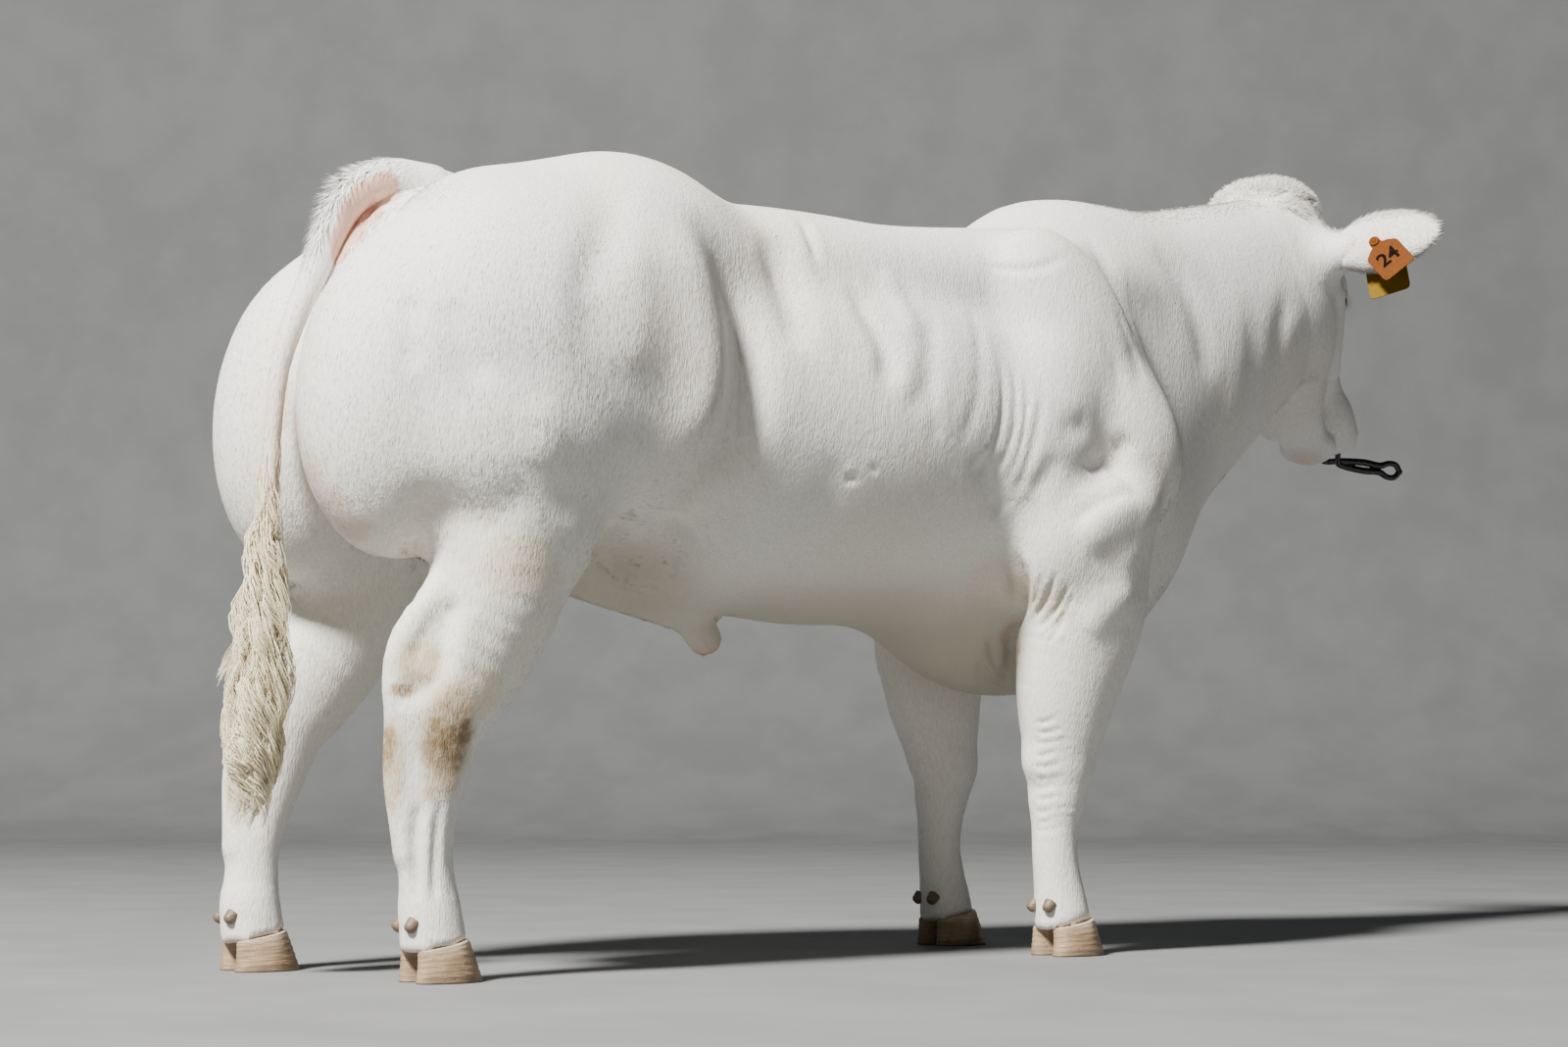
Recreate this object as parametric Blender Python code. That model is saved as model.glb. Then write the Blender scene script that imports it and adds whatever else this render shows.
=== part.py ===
"""A double-muscled beef bull, standing, as a still, life-size model.

Metres, +Z up. The bull faces +X, its left side is +Y and its soles stand on z = 0.
Its flesh is modelled as one field of blended masses, from which each named part is cut.
"""

import math

import bmesh
import bpy
import numpy as np
import openvdb
from mathutils import Euler, Matrix, Vector
from mathutils.bvhtree import BVHTree

# Driving dimensions
GAP = 0.0003
FAR = 1.0

# The middle of the bull's bounding box on the floor plan, before it is centred
CENTRE = (0.2993, 0.0297)

# Where each leg's foot, hock or knee, and upper leg are, on the floor plan
LEGS = {
    "hind_right": {"foot": (-0.775, -0.205), "joint": (-0.782, -0.215), "top": (-0.665, -0.225)},
    "hind_left": {"foot": (-0.898, 0.200), "joint": (-0.848, 0.212), "top": (-0.70, 0.225)},
    "fore_right": {"foot": (0.452, -0.190), "joint": (0.450, -0.200), "top": (0.485, -0.225)},
    "fore_left": {"foot": (0.478, 0.190), "joint": (0.492, 0.200), "top": (0.475, 0.225)},
}
HIND_CUT_HEIGHT = 0.605
FORE_CUT_HEIGHT = 0.41
FORE_CUT_SLOPE = 0.76
HOCK_HEIGHT = 0.425
KNEE_HEIGHT = 0.335
CORONET_HEIGHT = 0.058
CORONET_SLOPE = 0.20
CLAW_LENGTH = 0.118
CLAW_WIDTH = 0.054
CLAW_CLEFT = 0.003

# The head is carried low and turned a little to the left
POLL = Vector((1.278, 0.116, 1.478))
HEAD_YAW = math.radians(22)
HEAD_PITCH = math.radians(62)
HEAD = Matrix.Translation(POLL) @ Euler((0, HEAD_PITCH, HEAD_YAW)).to_matrix().to_4x4()
EYE = Vector((0.208, 0.102, -0.066))
EYE_RADIUS = 0.020

# The tail, from where it leaves the rump down to its end, with its radius at each point
TAIL = [
    ((-0.600, 0, 1.225), 0.055),
    ((-0.690, 0, 1.262), 0.046),
    ((-0.765, 0, 1.270), 0.039),
    ((-0.822, 0, 1.240), 0.034),
    ((-0.857, 0, 1.187), 0.030),
    ((-0.888, 0, 1.110), 0.026),
    ((-0.922, 0, 1.030), 0.022),
    ((-0.946, 0, 0.950), 0.019),
    ((-0.955, 0, 0.860), 0.017),
    ((-0.959, 0, 0.770), 0.0155),
    ((-0.961, 0, 0.700), 0.0150),
]
TAIL_CUT = 3
TAIL_ROOM = 0.004
SWITCH_TOP = 0.74
SWITCH_END = 0.215

# How finely each surface is sculpted, and how many triangles it is thinned out to
DETAIL = {
    "body": (0.012, 6100),
    "head": (0.004, 2050),
    "ear": (0.004, 440),
    "tail": (0.006, 420),
    "switch": (0.006, 260),
    "clamp": (0.0018, 520),
}

# Colours
COAT, PINK, HORN = (0.80, 0.78, 0.73), (0.74, 0.50, 0.42), (0.36, 0.24, 0.14)
EYE_BROWN, CLAMP_BLACK = (0.03, 0.02, 0.015), (0.02, 0.02, 0.022)
TAG_ORANGE, TAG_YELLOW = (0.80, 0.30, 0.02), (0.80, 0.50, 0.02)


class Clay:
    """A block of signed distances, to which flesh is added and from which it is carved."""

    def __init__(self, low, high, voxel):
        self.voxel = voxel
        self.low = np.array(low, float)
        counts = np.ceil((np.array(high, float) - self.low) / voxel).astype(int) + 1
        self.axes = [self.low[i] + voxel * np.arange(counts[i]) for i in range(3)]
        self.field = np.full(counts, FAR, np.float32)

    def _part(self, low, high):
        """The slices of the block between two corners, and the points in them."""
        slices = []
        for axis, lowest, highest in zip(self.axes, low, high):
            start, stop = np.searchsorted(axis, (lowest, highest))
            if start >= stop:
                return None, None
            slices.append(slice(start, stop))
        x, y, z = (axis[part] for axis, part in zip(self.axes, slices))
        grid = np.meshgrid(x, y, z, indexing="ij")
        return tuple(slices), np.stack(grid, -1)

    def blend(self, distance_of, low, high, soft, carve=False):
        """Joins a shape to the block, or carves it out, with a fillet of about soft."""
        margin = 2.0 * soft + 2.0 * self.voxel
        slices, points = self._part(np.array(low) - margin, np.array(high) + margin)
        if slices is None:
            return
        new = distance_of(points)
        old = self.field[slices]
        side = -1.0 if carve else 1.0
        a, b = side * old, new
        mix = np.clip(0.5 + 0.5 * (a - b) / soft, 0.0, 1.0)
        joined = a * (1.0 - mix) + b * mix - soft * mix * (1.0 - mix)
        self.field[slices] = side * joined

    def lump(self, centre, radii, turn=(0, 0, 0), soft=0.04, frame=None, carve=False):
        """An ellipsoid of flesh. turn is in degrees about X, Y and Z."""
        place = (frame or Matrix()) @ Matrix.Translation(centre)
        place = place @ Euler([math.radians(a) for a in turn]).to_matrix().to_4x4()
        inverse = np.array(place.inverted())
        radii = np.array(radii, float)
        reach = np.sqrt(((np.array(place)[:3, :3] * radii) ** 2).sum(1))
        middle = np.array(place.translation)

        def distance_of(points):
            local = points @ inverse[:3, :3].T + inverse[:3, 3]
            near = np.sqrt(((local / radii) ** 2).sum(-1))
            slope = np.sqrt(((local / radii**2) ** 2).sum(-1))
            return near * (near - 1.0) / np.maximum(slope, 1e-6)

        self.blend(distance_of, middle - reach, middle + reach, soft, carve)

    def limb(self, start, end, start_radius, end_radius, flat=1.0, flat_axis=(0, 1, 0),
             soft=0.03, frame=None, carve=False):
        """A tapering rod between two points, squeezed to flat of its width along flat_axis."""
        place = frame or Matrix()
        a, b = np.array(place @ Vector(start)), np.array(place @ Vector(end))
        squeeze = np.array((place.to_3x3() @ Vector(flat_axis)).normalized())
        along = b - a
        length2 = float(along @ along)
        widest = max(start_radius, end_radius)

        def distance_of(points):
            rel = points - a
            t = np.clip((rel @ along) / length2, 0.0, 1.0)
            off = rel - t[..., None] * along
            side = off @ squeeze
            off = off + (side * (1.0 / flat - 1.0))[..., None] * squeeze
            radius = start_radius + (end_radius - start_radius) * t
            return (np.sqrt((off**2).sum(-1)) - radius) * min(1.0, flat)

        low, high = np.minimum(a, b) - widest, np.maximum(a, b) + widest
        self.blend(distance_of, low, high, soft, carve)

    def chain(self, stations, flat_axis=(0, 1, 0), soft=0.03, frame=None, carve=False, steps=3):
        """A smooth rod through stations of (point, radius, flat), as limb makes one stretch."""
        place = frame or Matrix()
        rows = np.array([(*(place @ Vector(point)), radius, flat) for point, radius, flat in stations])
        rows = smooth_rows(rows, steps)
        squeeze = np.array((place.to_3x3() @ Vector(flat_axis)).normalized())

        def distance_of(points):
            nearest = np.full(points.shape[:-1], FAR, np.float32)
            for start, end in zip(rows, rows[1:]):
                rel = points - start[:3]
                along = end[:3] - start[:3]
                t = np.clip((rel @ along) / float(along @ along), 0.0, 1.0)
                off = rel - t[..., None] * along
                flat = start[4] + (end[4] - start[4]) * t
                side = off @ squeeze
                off = off + (side * (1.0 / flat - 1.0))[..., None] * squeeze
                radius = start[3] + (end[3] - start[3]) * t
                nearest = np.minimum(nearest, np.sqrt((off**2).sum(-1)) - radius)
            return nearest

        reach = rows[:, 3:4]
        self.blend(distance_of, (rows[:, :3] - reach).min(0), (rows[:, :3] + reach).max(0), soft, carve)

    def surface(self):
        """Points and quads of the block's zero surface, facing out."""
        grid = openvdb.FloatGrid(FAR)
        grid.copyFromArray(self.field)
        points, quads = grid.convertToQuads(0.0)
        return points * self.voxel + self.low, quads


def smooth_rows(rows, steps):
    """Rows of numbers with more rows put between them, on a smooth curve through them all."""
    padded = np.vstack([2 * rows[0] - rows[1], rows, 2 * rows[-1] - rows[-2]])
    made = []
    for before, start, end, after in zip(padded, padded[1:], padded[2:], padded[3:]):
        for step in range(steps):
            t = step / steps
            made.append(0.5 * (2 * start + (end - before) * t
                               + (2 * before - 5 * start + 4 * end - after) * t**2
                               + (3 * start - before - 3 * end + after) * t**3))
    made.append(rows[-1])
    return np.array(made)


def both_sides(call, centre, *args, turn=(0, 0, 0), **more):
    """Makes a mass and its mirror image across the bull's middle."""
    call(centre, *args, turn=turn, **more)
    call((centre[0], -centre[1], centre[2]), *args, turn=(-turn[0], turn[1], -turn[2]), **more)


def both_limbs(limb, start, end, *radii, **more):
    limb(start, end, *radii, **more)
    limb((start[0], -start[1], start[2]), (end[0], -end[1], end[2]), *radii, **more)


def shape_trunk(clay):
    lump = clay.lump
    # Barrel, loin and chest
    lump((0.05, 0, 0.915), (0.56, 0.325, 0.345), soft=0.10)
    lump((-0.26, 0, 0.965), (0.40, 0.285, 0.30), turn=(0, -4, 0), soft=0.10)
    lump((0.45, 0, 0.87), (0.34, 0.260, 0.395), turn=(0, 6, 0), soft=0.10)
    lump((0.66, 0, 0.80), (0.20, 0.18, 0.24), turn=(0, 20, 0), soft=0.10)
    # Brisket, between the forelegs
    lump((0.50, 0, 0.60), (0.24, 0.11, 0.13), turn=(0, -4, 0), soft=0.08)
    # Back muscles, either side of the spine
    both_sides(lump, (-0.08, 0.12, 1.175), (0.50, 0.12, 0.10), soft=0.06)
    both_sides(lump, (0.38, 0.10, 1.19), (0.34, 0.11, 0.105), turn=(0, -4, 0), soft=0.06)
    # Withers
    lump((0.60, 0, 1.285), (0.17, 0.10, 0.088), soft=0.05)
    lump((0.62, 0, 1.215), (0.25, 0.11, 0.135), turn=(0, -4, 0), soft=0.08)
    # Underside of the belly, back to the groin
    lump((-0.28, 0, 0.80), (0.32, 0.20, 0.215), soft=0.06)
    # Sheath under the belly, and the scrotum tucked between the thighs
    clay.chain([((-0.36, 0, 0.650), 0.045, 0.7), ((-0.26, 0, 0.612), 0.045, 0.8),
                ((-0.198, 0, 0.582), 0.035, 0.9), ((-0.162, 0, 0.546), 0.034, 1.0)], soft=0.03)
    lump((-0.50, 0, 0.655), (0.060, 0.050, 0.085), turn=(0, 8, 0), soft=0.03)


def shape_hindquarters(clay):
    lump = clay.lump
    # Rump, from the hips to the tail
    both_sides(lump, (-0.42, 0.15, 1.13), (0.25, 0.17, 0.20), turn=(0, 6, 0), soft=0.05)
    both_sides(lump, (-0.62, 0.13, 1.15), (0.20, 0.13, 0.14), turn=(0, -8, 0), soft=0.05)
    # Round of the thigh
    both_sides(lump, (-0.62, 0.19, 0.99), (0.275, 0.185, 0.27), turn=(0, 0, 0), soft=0.05)
    lump((-0.812, 0.16, 0.895), (0.172, 0.150, 0.275), turn=(0, 5, -4), soft=0.04)
    lump((-0.808, -0.155, 0.905), (0.172, 0.148, 0.265), turn=(0, 5, 4), soft=0.04)
    both_sides(lump, (-0.45, 0.235, 0.97), (0.165, 0.12, 0.25), turn=(0, -12, 6), soft=0.05)
    both_sides(lump, (-0.64, 0.215, 0.835), (0.215, 0.15, 0.165), turn=(0, -10, 0), soft=0.05)
    # Stifle and the fold of skin that runs from it to the flank
    both_sides(lump, (-0.595, 0.240, 0.725), (0.085, 0.085, 0.12), turn=(0, -10, 0), soft=0.05)
    both_limbs(clay.limb, (-0.54, 0.235, 0.80), (-0.30, 0.20, 0.81), 0.060, 0.050, soft=0.05)


def shape_neck(clay):
    limb = clay.limb
    limb((0.62, 0, 1.03), (1.165, 0.065, 1.265), 0.30, 0.188, flat=0.64, soft=0.08)
    limb((0.66, 0, 0.88), (1.10, 0.065, 1.145), 0.245, 0.125, flat=0.66, soft=0.08)
    limb((0.74, 0, 1.235), (1.19, 0.08, 1.345), 0.12, 0.10, flat=0.8, soft=0.05)


def shape_shoulder(clay):
    lump = clay.lump
    # Shoulder blade, from the withers forward and down to the point of the shoulder
    both_sides(lump, (0.485, 0.200, 1.055), (0.140, 0.085, 0.25), turn=(0, -28, 0), soft=0.05)
    both_sides(lump, (0.60, 0.215, 0.90), (0.105, 0.085, 0.14), turn=(0, -20, 0), soft=0.05)
    # Muscles behind the blade and round the upper arm
    both_sides(lump, (0.375, 0.225, 0.90), (0.115, 0.085, 0.19), turn=(0, 12, 0), soft=0.05)
    both_sides(lump, (0.505, 0.250, 0.765), (0.135, 0.080, 0.085), turn=(0, -24, 0), soft=0.03)
    both_sides(lump, (0.415, 0.245, 0.72), (0.105, 0.080, 0.12), turn=(0, 10, 0), soft=0.04)
    # The hollow over the shoulder joint
    for side in (1, -1):
        clay.chain([((0.41, 0.345 * side, 0.925), 0.020, 1.0), ((0.48, 0.350 * side, 0.865), 0.018, 1.0),
                    ((0.57, 0.345 * side, 0.820), 0.014, 1.0)], soft=0.035, carve=True)


# Each row of a leg: height, how far forward of its line, half its length, and width over length
HIND_LEG = [
    (0.720, +0.000, 0.1220, 0.86),
    (0.620, -0.004, 0.1150, 0.82),
    (0.530, +0.019, 0.1030, 0.76),
    (0.455, +0.024, 0.0930, 0.66),
    (0.400, +0.016, 0.0780, 0.70),
    (0.350, +0.009, 0.0660, 0.74),
    (0.304, +0.004, 0.0580, 0.78),
    (0.250, -0.003, 0.0500, 0.84),
    (0.188, -0.008, 0.0475, 0.86),
    (0.140, -0.004, 0.0495, 0.90),
    (0.108, -0.001, 0.0535, 0.94),
    (0.074, +0.004, 0.0550, 0.98),
    (0.040, +0.008, 0.0570, 1.00),
]
FORE_LEG = [
    (0.700, +0.0000, 0.1360, 0.72),
    (0.610, -0.0010, 0.1280, 0.72),
    (0.540, -0.0060, 0.1170, 0.74),
    (0.466, -0.0115, 0.1010, 0.78),
    (0.418, -0.0100, 0.0890, 0.82),
    (0.370, -0.0070, 0.0755, 0.88),
    (0.335, -0.0030, 0.0690, 0.92),
    (0.310, -0.0040, 0.0620, 0.94),
    (0.276, -0.0090, 0.0560, 0.95),
    (0.227, -0.0115, 0.0470, 0.97),
    (0.179, -0.0120, 0.0446, 0.98),
    (0.130, -0.0050, 0.0470, 0.98),
    (0.090, +0.0020, 0.0515, 0.98),
    (0.045, +0.0080, 0.0550, 1.00),
]
# Tendon down to the point of the hock and on to the cannon: height, how far behind the leg, radius
HEEL_TENDON = [(0.63, 0.075, 0.034), (0.53, 0.108, 0.026), (0.465, 0.079, 0.031), (0.40, 0.0513, 0.030),
               (0.35, 0.0566, 0.027), (0.304, 0.0566, 0.026), (0.25, 0.049, 0.025), (0.20, 0.040, 0.0235)]


def leg_line(leg, joint_height, height):
    """The middle of a leg at a height, before the bends of its own rows."""
    foot, joint, top = Vector(leg["foot"]), Vector(leg["joint"]), Vector(leg["top"])
    if height > joint_height:
        return joint.lerp(top, min(1.0, (height - joint_height) / (0.62 - joint_height)))
    return foot.lerp(joint, max(0.0, (height - 0.10) / (joint_height - 0.10)))


def shape_leg(clay, leg, rows, joint_height):
    stations = []
    for height, forward, radius, flat in rows:
        x, y = leg_line(leg, joint_height, height)
        stations.append(((x + forward, y, height), radius, flat))
    clay.chain(stations, soft=0.045)


def shape_hind_leg(clay, leg):
    shape_leg(clay, leg, HIND_LEG, HOCK_HEIGHT)
    stations = []
    for height, behind, radius in HEEL_TENDON:
        x, y = leg_line(leg, HOCK_HEIGHT, height)
        stations.append(((x - behind, y, height), radius, 0.9))
    clay.chain(stations, soft=0.024)


def shape_fore_leg(clay, leg):
    shape_leg(clay, leg, FORE_LEG, KNEE_HEIGHT)
    # The bone at the back of the knee
    x, y = leg["joint"]
    clay.lump((x - 0.045, y, KNEE_HEIGHT + 0.005), (0.028, 0.030, 0.035), soft=0.03)


def shape_head(clay):
    def lump(centre, radii, **more):
        clay.lump(centre, radii, frame=HEAD, **more)

    def pair(centre, radii, turn=(0, 0, 0), **more):
        lump(centre, radii, turn=turn, **more)
        lump((centre[0], -centre[1], centre[2]), radii, turn=(-turn[0], turn[1], -turn[2]), **more)

    def limb(start, end, *radii, **more):
        clay.limb(start, end, *radii, frame=HEAD, **more)

    # Poll, skull, forehead and brow
    lump((0.003, 0.019, -0.063), (0.066, 0.110, 0.079), turn=(4, 0, 0), soft=0.04)
    lump((0.075, 0, -0.088), (0.110, 0.112, 0.085), soft=0.04)
    lump((0.160, 0, -0.070), (0.140, 0.116, 0.063), soft=0.03)
    pair((0.188, 0.098, -0.050), (0.052, 0.028, 0.028), turn=(0, 0, -10), soft=0.02)
    # Bridge of the nose and the muzzle
    clay.chain([((0.22, 0, -0.084), 0.076, 1.30), ((0.31, 0, -0.080), 0.066, 1.22),
                ((0.39, 0, -0.076), 0.058, 1.34), ((0.465, 0, -0.073), 0.055, 1.32)],
               flat_axis=(0, 1, 0), soft=0.03, frame=HEAD)
    lump((0.492, 0, -0.070), (0.048, 0.082, 0.057), soft=0.018)
    pair((0.455, 0.054, -0.078), (0.058, 0.034, 0.044), soft=0.02)
    pair((0.508, 0.051, -0.054), (0.029, 0.030, 0.030), soft=0.015)
    # Cheeks, the ridge below the eye, and the jaw
    pair((0.215, 0.076, -0.158), (0.115, 0.046, 0.088), turn=(0, 18, 0), soft=0.03)
    pair((0.300, 0.052, -0.140), (0.090, 0.034, 0.058), turn=(0, 14, 0), soft=0.03)
    for side in (1, -1):
        limb((0.18, 0.114 * side, -0.098), (0.34, 0.078 * side, -0.104), 0.023, 0.016, soft=0.03)
    clay.chain([((0.17, 0, -0.195), 0.062, 1.25), ((0.29, 0, -0.188), 0.054, 1.2),
                ((0.39, 0, -0.174), 0.047, 1.55), ((0.465, 0, -0.150), 0.036, 1.6)],
               flat_axis=(0, 1, 0), soft=0.03, frame=HEAD)
    lump((0.490, 0, -0.134), (0.042, 0.066, 0.033), soft=0.012)
    lump((0.360, 0.015, -0.200), (0.085, 0.065, 0.035), turn=(0, 14, 0), soft=0.04)
    # Line of the mouth, and the nostrils
    for side in (1, -1):
        clay.chain([((0.534, 0, -0.112), 0.0035, 1.0), ((0.513, 0.048 * side, -0.112), 0.004, 1.0),
                    ((0.472, 0.080 * side, -0.114), 0.005, 1.0), ((0.428, 0.081 * side, -0.117), 0.005, 1.0),
                    ((0.396, 0.074 * side, -0.112), 0.003, 1.0)], soft=0.006, frame=HEAD, carve=True)
        clay.chain([((0.540, 0.024 * side, -0.060), 0.010, 1.0), ((0.537, 0.043 * side, -0.050), 0.0115, 1.0),
                    ((0.523, 0.063 * side, -0.045), 0.008, 1.0), ((0.508, 0.078 * side, -0.054), 0.004, 1.0)],
                   soft=0.006, frame=HEAD, carve=True)
    # Root of each ear, and the lids round each eye
    for side in (1, -1):
        shape_ear_root(clay, ear_frame(side))
        out = Vector((0.06, side, 0.42)).normalized()
        middle = Vector((EYE.x, side * EYE.y, EYE.z))
        lump(middle, (EYE_RADIUS + 0.0055,) * 3, soft=0.014)
        lump(middle + 0.020 * out, (0.0205, 0.014, 0.0125), turn=(-8 * side, -14, 0), soft=0.004, carve=True)


def shape_tail_root(clay):
    clay.chain([(point, radius, 1.0) for point, radius in TAIL[:TAIL_CUT + 1]], soft=0.03)
    # The bare skin under the arch of the tail
    clay.chain([((-0.66, 0, 1.200), 0.070, 1.0), ((-0.740, 0, 1.195), 0.060, 1.0),
                ((-0.795, 0, 1.155), 0.052, 1.0), ((-0.832, 0, 1.095), 0.044, 1.0),
                ((-0.845, 0, 1.02), 0.034, 0.9)], soft=0.03)


def shape_body(clay):
    shape_trunk(clay)
    shape_hindquarters(clay)
    shape_shoulder(clay)
    shape_neck(clay)
    shape_tail_root(clay)
    for name, leg in LEGS.items():
        shape = shape_hind_leg if name.startswith("hind") else shape_fore_leg
        shape(clay, leg)
    shape_head(clay)


def shape_ear_root(clay, ear):
    clay.limb((-0.07, 0, 0), (0.050, 0, 0.001), 0.058, 0.040, frame=ear, soft=0.045)


def shape_ear(clay, ear):
    """The ear's cup, in the ear's own frame: x to the tip, z out of its back."""
    shape_ear_root(clay, ear)
    clay.chain([((-0.010, 0, 0.001), 0.032, 0.85), ((0.050, 0, 0.002), 0.049, 0.66),
                ((0.100, 0, 0.002), 0.065, 0.42), ((0.150, 0, 0.000), 0.057, 0.34),
                ((0.190, 0, -0.003), 0.036, 0.32), ((0.215, 0, -0.006), 0.011, 0.60)],
               flat_axis=(0, 0, 1), soft=0.015, frame=ear)
    clay.chain([((0.060, 0, -0.027), 0.025, 0.9), ((0.098, 0, -0.021), 0.049, 0.56),
                ((0.145, 0, -0.017), 0.047, 0.48), ((0.185, 0, -0.015), 0.029, 0.50),
                ((0.205, 0, -0.014), 0.009, 0.60)],
               flat_axis=(0, 0, 1), soft=0.006, frame=ear, carve=True)


def ear_frame(side):
    """Where an ear grows from the head, pointing out and a little up and forward."""
    up = HEAD.to_3x3().inverted() @ Vector((0, 0, 1))
    back = HEAD.to_3x3().inverted() @ Vector((-math.cos(HEAD_YAW), -math.sin(HEAD_YAW), 0))
    out = (Vector((0, side, 0)) + 0.18 * up - 0.15 * back).normalized()
    normal = back + 0.35 * up
    normal = (normal - normal.dot(out) * out).normalized()
    across = normal.cross(out)
    frame = Matrix((out, across, normal)).transposed().to_4x4()
    frame.translation = Vector((0.094, 0.130 * side, -0.113))
    return HEAD @ frame


# Making, cutting and joining the solids


def collection(name):
    made = bpy.data.collections.new(name)
    bpy.context.scene.collection.children.link(made)
    return made


def solid(name, mesh, home):
    made = bpy.data.objects.new(name, mesh)
    home.objects.link(made)
    return made


def mesh_from(name, points, faces):
    mesh = bpy.data.meshes.new(name)
    mesh.from_pydata([tuple(p) for p in points], [], [tuple(f) for f in faces])
    mesh.update()
    return mesh


def apply_modifiers(thing):
    graph = bpy.context.evaluated_depsgraph_get()
    mesh = bpy.data.meshes.new_from_object(thing.evaluated_get(graph))
    old = thing.data
    thing.modifiers.clear()
    thing.data = mesh
    mesh.name = thing.name
    bpy.data.meshes.remove(old)


def thin_out(thing, triangles):
    """Brings a sculpted surface down to about so many triangles."""
    count = sum(len(face.vertices) - 2 for face in thing.data.polygons)
    decimate = thing.modifiers.new("Thin out", "DECIMATE")
    decimate.ratio = min(1.0, triangles / count)
    decimate.use_collapse_triangulate = True
    apply_modifiers(thing)


def sculpt(name, home, shape, low, high, voxel, triangles):
    clay = Clay(low, high, voxel)
    shape(clay)
    points, quads = clay.surface()
    made = solid(name, mesh_from(name, points, quads), home)
    thin_out(made, triangles)
    return made


def combine(thing, tool, operation, solver="EXACT"):
    boolean = thing.modifiers.new("Cut", "BOOLEAN")
    boolean.operation = operation
    boolean.object = tool
    boolean.solver = solver
    apply_modifiers(thing)


def keep_largest(thing):
    """Drops all but the largest closed surface, and merges the points left by a cut."""
    mesh = bmesh.new()
    mesh.from_mesh(thing.data)
    bmesh.ops.remove_doubles(mesh, verts=mesh.verts, dist=0.00002)
    seen, surfaces = set(), []
    for start in mesh.faces:
        if start in seen:
            continue
        surface, queue = [], [start]
        seen.add(start)
        while queue:
            face = queue.pop()
            surface.append(face)
            for other in (other for edge in face.edges for other in edge.link_faces):
                if other not in seen:
                    seen.add(other)
                    queue.append(other)
        surfaces.append(surface)
    surfaces.sort(key=len)
    for surface in surfaces[:-1]:
        bmesh.ops.delete(mesh, geom=surface, context="FACES")
    bmesh.ops.triangulate(mesh, faces=mesh.faces)
    mesh.to_mesh(thing.data)
    mesh.free()


def copy_of(thing, name):
    made = thing.copy()
    made.data = thing.data.copy()
    made.name = name
    thing.users_collection[0].objects.link(made)
    return made


def prism(name, home, outline, low_x, high_x):
    """A cutter with an outline in Y and Z, from low_x to high_x."""
    count = len(outline)
    points = [(x, y, z) for x in (low_x, high_x) for y, z in outline]
    faces = [tuple(range(count)), tuple(range(2 * count - 1, count - 1, -1))]
    faces += [(i, i + count, (i + 1) % count + count, (i + 1) % count) for i in range(count)]
    return finished_cutter(name, home, mesh_from(name, points, faces))


def half_space(name, home, point, normal, size=(2, 2, 2)):
    """A box cutter whose one face passes through a point and that lies along the normal."""
    mesh = bmesh.new()
    bmesh.ops.create_cube(mesh, size=1.0)
    turn = Vector((0, 0, 1)).rotation_difference(Vector(normal)).to_matrix().to_4x4()
    place = Matrix.Translation(point) @ turn @ Matrix.Diagonal((*size, 1))
    place = place @ Matrix.Translation((0, 0, 0.5))
    bmesh.ops.transform(mesh, matrix=place, verts=mesh.verts)
    data = bpy.data.meshes.new(name)
    mesh.to_mesh(data)
    mesh.free()
    return finished_cutter(name, home, data)


def finished_cutter(name, home, data):
    mesh = bmesh.new()
    mesh.from_mesh(data)
    bmesh.ops.recalc_face_normals(mesh, faces=mesh.faces)
    mesh.to_mesh(data)
    mesh.free()
    cutter = solid(name, data, home)
    hide(cutter)
    return cutter


def hide(cutter):
    cutter.hide_render = True
    cutter.display_type = "WIRE"


def tube(name, home, start, end, radius, end_radius=None, sides=16):
    """A rod, or a cone if it has an end_radius, from one point to another."""
    start, end = Vector(start), Vector(end)
    along = end - start
    mesh = bmesh.new()
    bmesh.ops.create_cone(mesh, cap_ends=True, segments=sides, radius1=radius,
                          radius2=radius if end_radius is None else end_radius, depth=along.length)
    turn = Vector((0, 0, 1)).rotation_difference(along).to_matrix().to_4x4()
    bmesh.ops.transform(mesh, matrix=Matrix.Translation((start + end) / 2) @ turn, verts=mesh.verts)
    data = bpy.data.meshes.new(name)
    mesh.to_mesh(data)
    mesh.free()
    return solid(name, data, home)


def paint(thing, colour, roughness, metallic=0.0):
    name = thing.name + " material"
    material = bpy.data.materials.new(name)
    material.use_nodes = True
    shader = material.node_tree.nodes["Principled BSDF"]
    shader.inputs["Base Color"].default_value = (*colour, 1.0)
    shader.inputs["Roughness"].default_value = roughness
    shader.inputs["Metallic"].default_value = metallic
    thing.data.materials.clear()
    thing.data.materials.append(material)


# The pieces


def neck_cut(offset=0.0):
    normal = Vector((math.cos(math.radians(10)), 0, math.sin(math.radians(10))))
    return Vector((0.80, 0, 1.05)) - offset * normal, normal


def head_cut(offset=0.0):
    normal = (HEAD.to_3x3() @ Vector((0.35, 0, 0.94))).normalized()
    return HEAD @ Vector((0.10, 0, -0.20)) - offset * normal, normal


def tail_cut(offset=0.0):
    point = Vector(TAIL[TAIL_CUT][0])
    normal = (Vector(TAIL[TAIL_CUT + 1][0]) - Vector(TAIL[TAIL_CUT - 1][0])).normalized()
    return point - offset * normal, normal


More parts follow.
